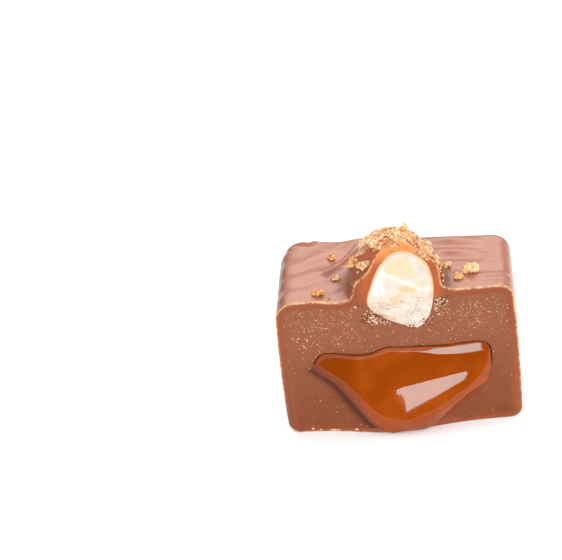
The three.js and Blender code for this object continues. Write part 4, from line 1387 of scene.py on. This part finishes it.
class CHOCOLATE_OT_filling(bpy.types.Operator):
    """Builds the nut filling with its rough cut face"""

    bl_idname = "chocolate.filling"
    bl_label = "Filling"
    bl_options = {"REGISTER", "UNDO"}

    def execute(self, context):
        def relief(x, z):
            flat = np.column_stack([x.ravel(), z.ravel(), np.zeros(x.size)])
            lumps = 0.03 * grain(flat, 1.1, 8) + 0.025 * grain(flat, 0.4, 9)
            return lumps.reshape(x.shape) - 0.03

        piece = core_solid("filling_body", 230, 140, 0.0, relief)
        carve(piece, nut_cutter(0.03), caramel_cutter(0.05))
        points = own_points(piece)
        x, y, z = points.T
        left, right, low, lowered = walls(0.0, WALL)
        gap = np.minimum.reduce([x - left, right - x, z - low, flat_top(x) - lowered - z])
        mark(piece, "edge", np.exp(-((np.maximum(gap, 0) / 0.35) ** 2)))
        # A painted shadow cast by the caramel's lower left edge on the filling.
        away, _ = line_distance(x, z, LOW_LEFT_EDGE)
        past = np.maximum(0, away - 0.45)
        shadow = 0.4 * np.exp(-((past / 0.7) ** 2)) + 0.6 * np.exp(-((past / 0.25) ** 2))
        shadow *= (away > -0.5) * smooth_step((10.5 - z) / 1.5)
        mark(piece, "damp", shadow * (y < 0.3))
        shade(piece, 50)
        hand_over(piece, filling_finish(context.scene.chocolate_filling), "nut_paste", "filling")
        return {"FINISHED"}


class CHOCOLATE_OT_nut(bpy.types.Operator):
    """Builds the cut hazelnut that stands in the mound"""

    bl_idname = "chocolate.nut"
    bl_label = "Hazelnut"
    bl_options = {"REGISTER", "UNDO"}

    def execute(self, context):
        piece = build_nut()
        mark_nut(piece)
        shade(piece, 60)
        hand_over(piece, nut_finish(context.scene.chocolate_nut), "nut_kernel", "hazelnut")
        return {"FINISHED"}


class CHOCOLATE_OT_caramel(bpy.types.Operator):
    """Builds the soft caramel that sags out of the cut"""

    bl_idname = "chocolate.caramel"
    bl_label = "Caramel"
    bl_options = {"REGISTER", "UNDO"}

    def execute(self, context):
        piece = build_caramel()
        mark_caramel(piece)
        shade(piece)
        hand_over(piece, caramel_finish(context.scene.chocolate_caramel), "soft_caramel", "caramel")
        return {"FINISHED"}


def on_cut(x, z, *pieces):
    """Where a line from in front meets the first piece's cut face, if no other piece is in the way."""
    at, facing = touch(pieces[0], (x, NEAR_FRONT, z), BACKWARD)
    if at is None or facing[1] > CUT_SPOT["facing"] or at[1] > CUT_SPOT["deepest"]:
        return None
    for other in pieces[1:]:
        before, _ = touch(other, (x, NEAR_FRONT, z), BACKWARD)
        if before is not None and before[1] < at[1] + CUT_SPOT["clear"]:
            return None
    return at


class CHOCOLATE_OT_crumbs(bpy.types.Operator):
    """Strews the baked nut crumbs over the mound and the coat's top"""

    bl_idname = "chocolate.crumbs"
    bl_label = "Crumbs"
    bl_options = {"REGISTER", "UNDO"}

    def execute(self, context):
        coat = bpy.data.objects["coat"]
        heap = Heap(CRUMB_SEED)
        growth = context.scene.chocolate_crumbs.growth
        grown = [(x, behind, size * growth, tone) for x, behind, size, tone in CRUMBS]
        for x, behind, size, tone in LONE_CRUMBS + grown + HEAPED:
            at, facing = seat(coat, place(x, ABOVE, max(behind, 0.12)), DOWN)
            if behind <= 0:
                facing = np.array([0, -0.7, 0.7])
                at = at + (0, behind - 0.12, -0.3)
            shape = WIDE_CRUMB["shape"] if size == WIDE_CRUMB["size"] else (1.0, 1.0)
            heap.crumb(at, facing, size, tone, shape)
        for x, behind, across, along, count in STREWN:
            for _ in range(count):
                angle, reach = heap.random.uniform(0, 2 * math.pi), heap.random.uniform(0, 1) ** 0.5
                spot_x = x + across * reach * math.cos(angle)
                spot_y = max(0.05, behind + along * reach * math.sin(angle))
                at, facing = seat(coat, place(spot_x, ABOVE, spot_y), DOWN)
                size = heap.random.uniform(0.13, 0.42)
                heap.grain(at + facing * size * 0.25, size, heap.random.uniform(0, 0.7), 2, 0.5)
        tall = UPRIGHT_CRUMB
        foot, _ = seat(coat, place(tall["x"], ABOVE, tall["behind"]), DOWN)
        for share in np.linspace(0, 1, 7):
            lean = np.array([-0.4 + 0.6 * share, 0, tall["height"] * share - 0.1])
            heap.grain(foot + lean, 0.85 - 0.32 * share, tall["tone"] * (1 - 0.85 * share), 2, 0.45)
        for x, z, size, tone in HANGING:
            at, facing = seat(coat, (x, IN_FRONT, z), BACKWARD)
            heap.crumb(at, facing, size, tone)
        for x, z, size in CHIPS:
            at, _ = seat(coat, (x, IN_FRONT, z), BACKWARD)
            heap.fleck(at, size * 1.9, size * 0.6, 0.07, heap.random.uniform(-0.9, 0.1), 0.3, 0.2)
        piece = heap.piece("crumbs")
        shade(piece, 55)
        hand_over(piece, crumb_finish(context.scene.chocolate_crumbs), "milk_chocolate", "coating")
        return {"FINISHED"}


class CHOCOLATE_OT_flecks(bpy.types.Operator):
    """Lays the pale slivers and the bits of nut skin on the cut"""

    bl_idname = "chocolate.flecks"
    bl_label = "Flecks on the cut"
    bl_options = {"REGISTER", "UNDO"}

    def execute(self, context):
        look = context.scene.chocolate_flecks
        filling, caramel, nut = (bpy.data.objects[n] for n in ("filling_body", "caramel_piece", "nut_half"))
        self.slivers(look, filling, caramel, nut)
        self.bits(look, filling, caramel, nut)
        return {"FINISHED"}

    def slivers(self, look, filling, caramel, nut):
        heap = Heap(FLECK_SEED)
        draw = heap.random
        placed = tries = 0
        while placed < look.count:
            tries += 1
            if tries > MAX_TRIES * look.count:
                raise RuntimeError("The slivers find no room on the cut")
            x, z = draw.uniform(*SLIVERS["x"]), draw.uniform(*SLIVERS["z"])
            dense = max(share * math.exp(-(((x - at_x) / across) ** 2) - ((z - at_z) / up) ** 2)
                        for at_x, at_z, across, up, share in SLIVER_CLUMPS)
            clump = 0.25 + 0.75 * smooth_step((noise.noise(Vector((x, z, 4.0)) / 1.6) + 0.25) / 0.4)
            if draw.uniform() > clump * (SLIVERS["sparse"] + (1 - SLIVERS["sparse"]) * dense):
                continue
            at = on_cut(x, z, filling, caramel, nut)
            if at is None:
                continue
            placed += 1
            length = min(0.8, 0.14 + draw.exponential(0.12))
            tone = draw.uniform(0, 1) ** 0.6
            if draw.uniform() < 0.62:
                heap.grain(at, draw.uniform(0.06, 0.13), tone, 2, 0.3)
            else:
                heap.fleck(at, length, draw.uniform(0.045, 0.08), 0.02, draw.uniform(0, math.pi),
                           draw.uniform(-0.5, 0.5), tone)
        piece = heap.piece("flecks")
        shade(piece, 60)
        hand_over(piece, fleck_finish("pale_flecks", look.colour, look.dull_colour), "nut_paste", "filling")

    def bits(self, look, filling, caramel, nut):
        heap = Heap(BIT_SEED)
        draw = heap.random
        for x, z, across, up, count, size in BITS:
            for _ in range(count):
                spot_x, spot_z = x + draw.normal() * across / 1.6, z + draw.normal() * up / 1.6
                at = on_cut(spot_x, spot_z, filling, caramel)
                if at is None:
                    at = on_cut(spot_x, spot_z, nut)
                if at is None:
                    continue
                kind = draw.uniform()
                if kind < 0.38:
                    tone = 1.15
                elif kind < 0.8:
                    tone = draw.uniform(0.3, 0.6)
                else:
                    tone = draw.uniform(-0.1, 0.2)
                heap.grain(at, size * draw.uniform(0.5, 1.4), tone, 1, 0.4)
        piece = heap.piece("nut_skin_bits")
        shade(piece, 60)
        hand_over(piece, fleck_finish("skin_bits", look.colour, look.skin_colour), "nut_paste", "filling")


def area_light(name, at, target, width, height, radiance, colour):
    """A soft box at a place in millimetres, aimed at a point, with its brightness as seen."""
    light = bpy.data.lights.new(name, "AREA")
    light.shape, light.size, light.size_y = "RECTANGLE", width * MM, height * MM
    light.energy = radiance * math.pi * light.size * light.size_y
    light.color = colour
    lamp = bpy.data.objects.new(name, light)
    bpy.context.scene.collection.objects.link(lamp)
    lamp.location = (Vector(at) + Vector(CENTRED)) * MM
    lamp.rotation_euler = (Vector(target) - Vector(at)).to_track_quat("-Z", "Y").to_euler()


class CHOCOLATE_OT_stage(bpy.types.Operator):
    """Sets the pale table, the soft lights and the camera"""

    bl_idname = "chocolate.stage"
    bl_label = "Table, lights and camera"
    bl_options = {"REGISTER", "UNDO"}

    def execute(self, context):
        scene = context.scene
        self.table(scene.chocolate_studio)
        self.sky(scene)
        self.lights()
        self.camera(scene)
        scene.view_settings.view_transform = "Standard"
        return {"FINISHED"}

    def table(self, look):
        steps = TABLE["steps"]
        xs = np.linspace(TABLE["left"], TABLE["right"], steps)
        ys = np.linspace(TABLE["front"], TABLE["back"], steps)
        grid = np.stack(np.meshgrid(xs, ys), -1).reshape(-1, 2)
        points = np.column_stack([grid, np.full(len(grid), TABLE["z"])])
        index = np.arange(steps * steps).reshape(steps, steps)
        quads = np.stack([index[:-1, :-1], index[:-1, 1:], index[1:, 1:], index[1:, :-1]], -1)
        floor = new_mesh("table", points, quads.reshape(-1, 4).tolist())
        sheet = Finish("table_white")
        tone = sheet.noise(sheet.place(), 60.0)
        paint = sheet.blend(sheet.steps(tone, 0.2, 0.8), look.floor_colour, (1, 1, 1))
        floor.data.materials.append(sheet.finish(Base_Color=paint, Roughness=0.6, Emission_Color=(1, 1, 1, 1),
                                                 Emission_Strength=0.16))

    def sky(self, scene):
        world = bpy.data.worlds.new("studio")
        world.use_nodes = True
        scene.world = world
        sheet = Finish("studio", world.node_tree)
        x, y, z = sheet.axes(sheet.add("ShaderNodeTexCoord", output="Generated"))
        flag = sheet.steps(y, -0.45, -0.7) * sheet.steps(z, 0.55, 0.42)
        low_back = sheet.steps(y, 0.3, 0.6) * sheet.steps(z, 0.4, 0.26)
        left = sheet.steps(x, -0.35, -0.7) * sheet.steps(z, 0.75, 0.45)
        lit = (1.27 + 0.25 * y + 0.52 * x) * (1 - flag) * (1 - 0.66 * low_back) * (1 - 0.75 * left) + 0.02
        above = sheet.steps(z, -0.02, 0.03)
        seen = sheet.add("ShaderNodeLightPath", output="Is Camera Ray")
        strength = lit * above * (1 - seen) + seen
        glow = sheet.add("ShaderNodeBackground", None, {"Color": (1, 1, 1, 1), "Strength": strength})
        sheet.add_output(glow, "ShaderNodeOutputWorld")

    def lights(self):
        for settings in LIGHTS:
            area_light(*settings)

    def camera(self, scene):
        lens = bpy.data.cameras.new("camera")
        lens.sensor_width, lens.sensor_fit = CAMERA["sensor"], "HORIZONTAL"
        lens.lens = CAMERA["focal"] * CAMERA["sensor"] / CAMERA["image"]
        lens.clip_start, lens.clip_end = 0.01, 20.0
        eye = bpy.data.objects.new("camera", lens)
        scene.collection.objects.link(eye)
        turn = Matrix([CAMERA[axis] for axis in ("right", "up", "back")]).transposed().to_4x4()
        turn.translation = (Vector(CAMERA["place"]) + Vector(CENTRED)) * MM
        eye.matrix_world = turn
        scene.camera = eye


class CHOCOLATE_PT_panel(bpy.types.Panel):
    """The builders in the sidebar"""

    bl_idname = "CHOCOLATE_PT_panel"
    bl_label = "Filled chocolate"
    bl_space_type = "VIEW_3D"
    bl_region_type = "UI"
    bl_category = "Chocolate"

    def draw(self, context):
        for operator in OPERATORS:
            self.layout.operator(operator.bl_idname)


OPERATORS = (CHOCOLATE_OT_coat, CHOCOLATE_OT_filling, CHOCOLATE_OT_nut, CHOCOLATE_OT_caramel,
             CHOCOLATE_OT_crumbs, CHOCOLATE_OT_flecks, CHOCOLATE_OT_stage)
LOOKS = {"chocolate_coat": CoatLook, "chocolate_filling": FillingLook, "chocolate_nut": NutLook,
         "chocolate_caramel": CaramelLook, "chocolate_crumbs": CrumbLook, "chocolate_flecks": FleckLook,
         "chocolate_studio": StudioLook}


def register():
    for group in (*LOOKS.values(), *OPERATORS, CHOCOLATE_PT_panel):
        bpy.utils.register_class(group)
    for name, group in LOOKS.items():
        setattr(bpy.types.Scene, name, PointerProperty(type=group))


def unregister():
    for name in LOOKS:
        delattr(bpy.types.Scene, name)
    for group in (CHOCOLATE_PT_panel, *OPERATORS[::-1], *tuple(LOOKS.values())[::-1]):
        bpy.utils.unregister_class(group)


def main():
    register()
    for build in (bpy.ops.chocolate.coat, bpy.ops.chocolate.filling, bpy.ops.chocolate.nut,
                  bpy.ops.chocolate.caramel, bpy.ops.chocolate.crumbs, bpy.ops.chocolate.flecks,
                  bpy.ops.chocolate.stage):
        build()


if __name__ == "__main__":
    main()
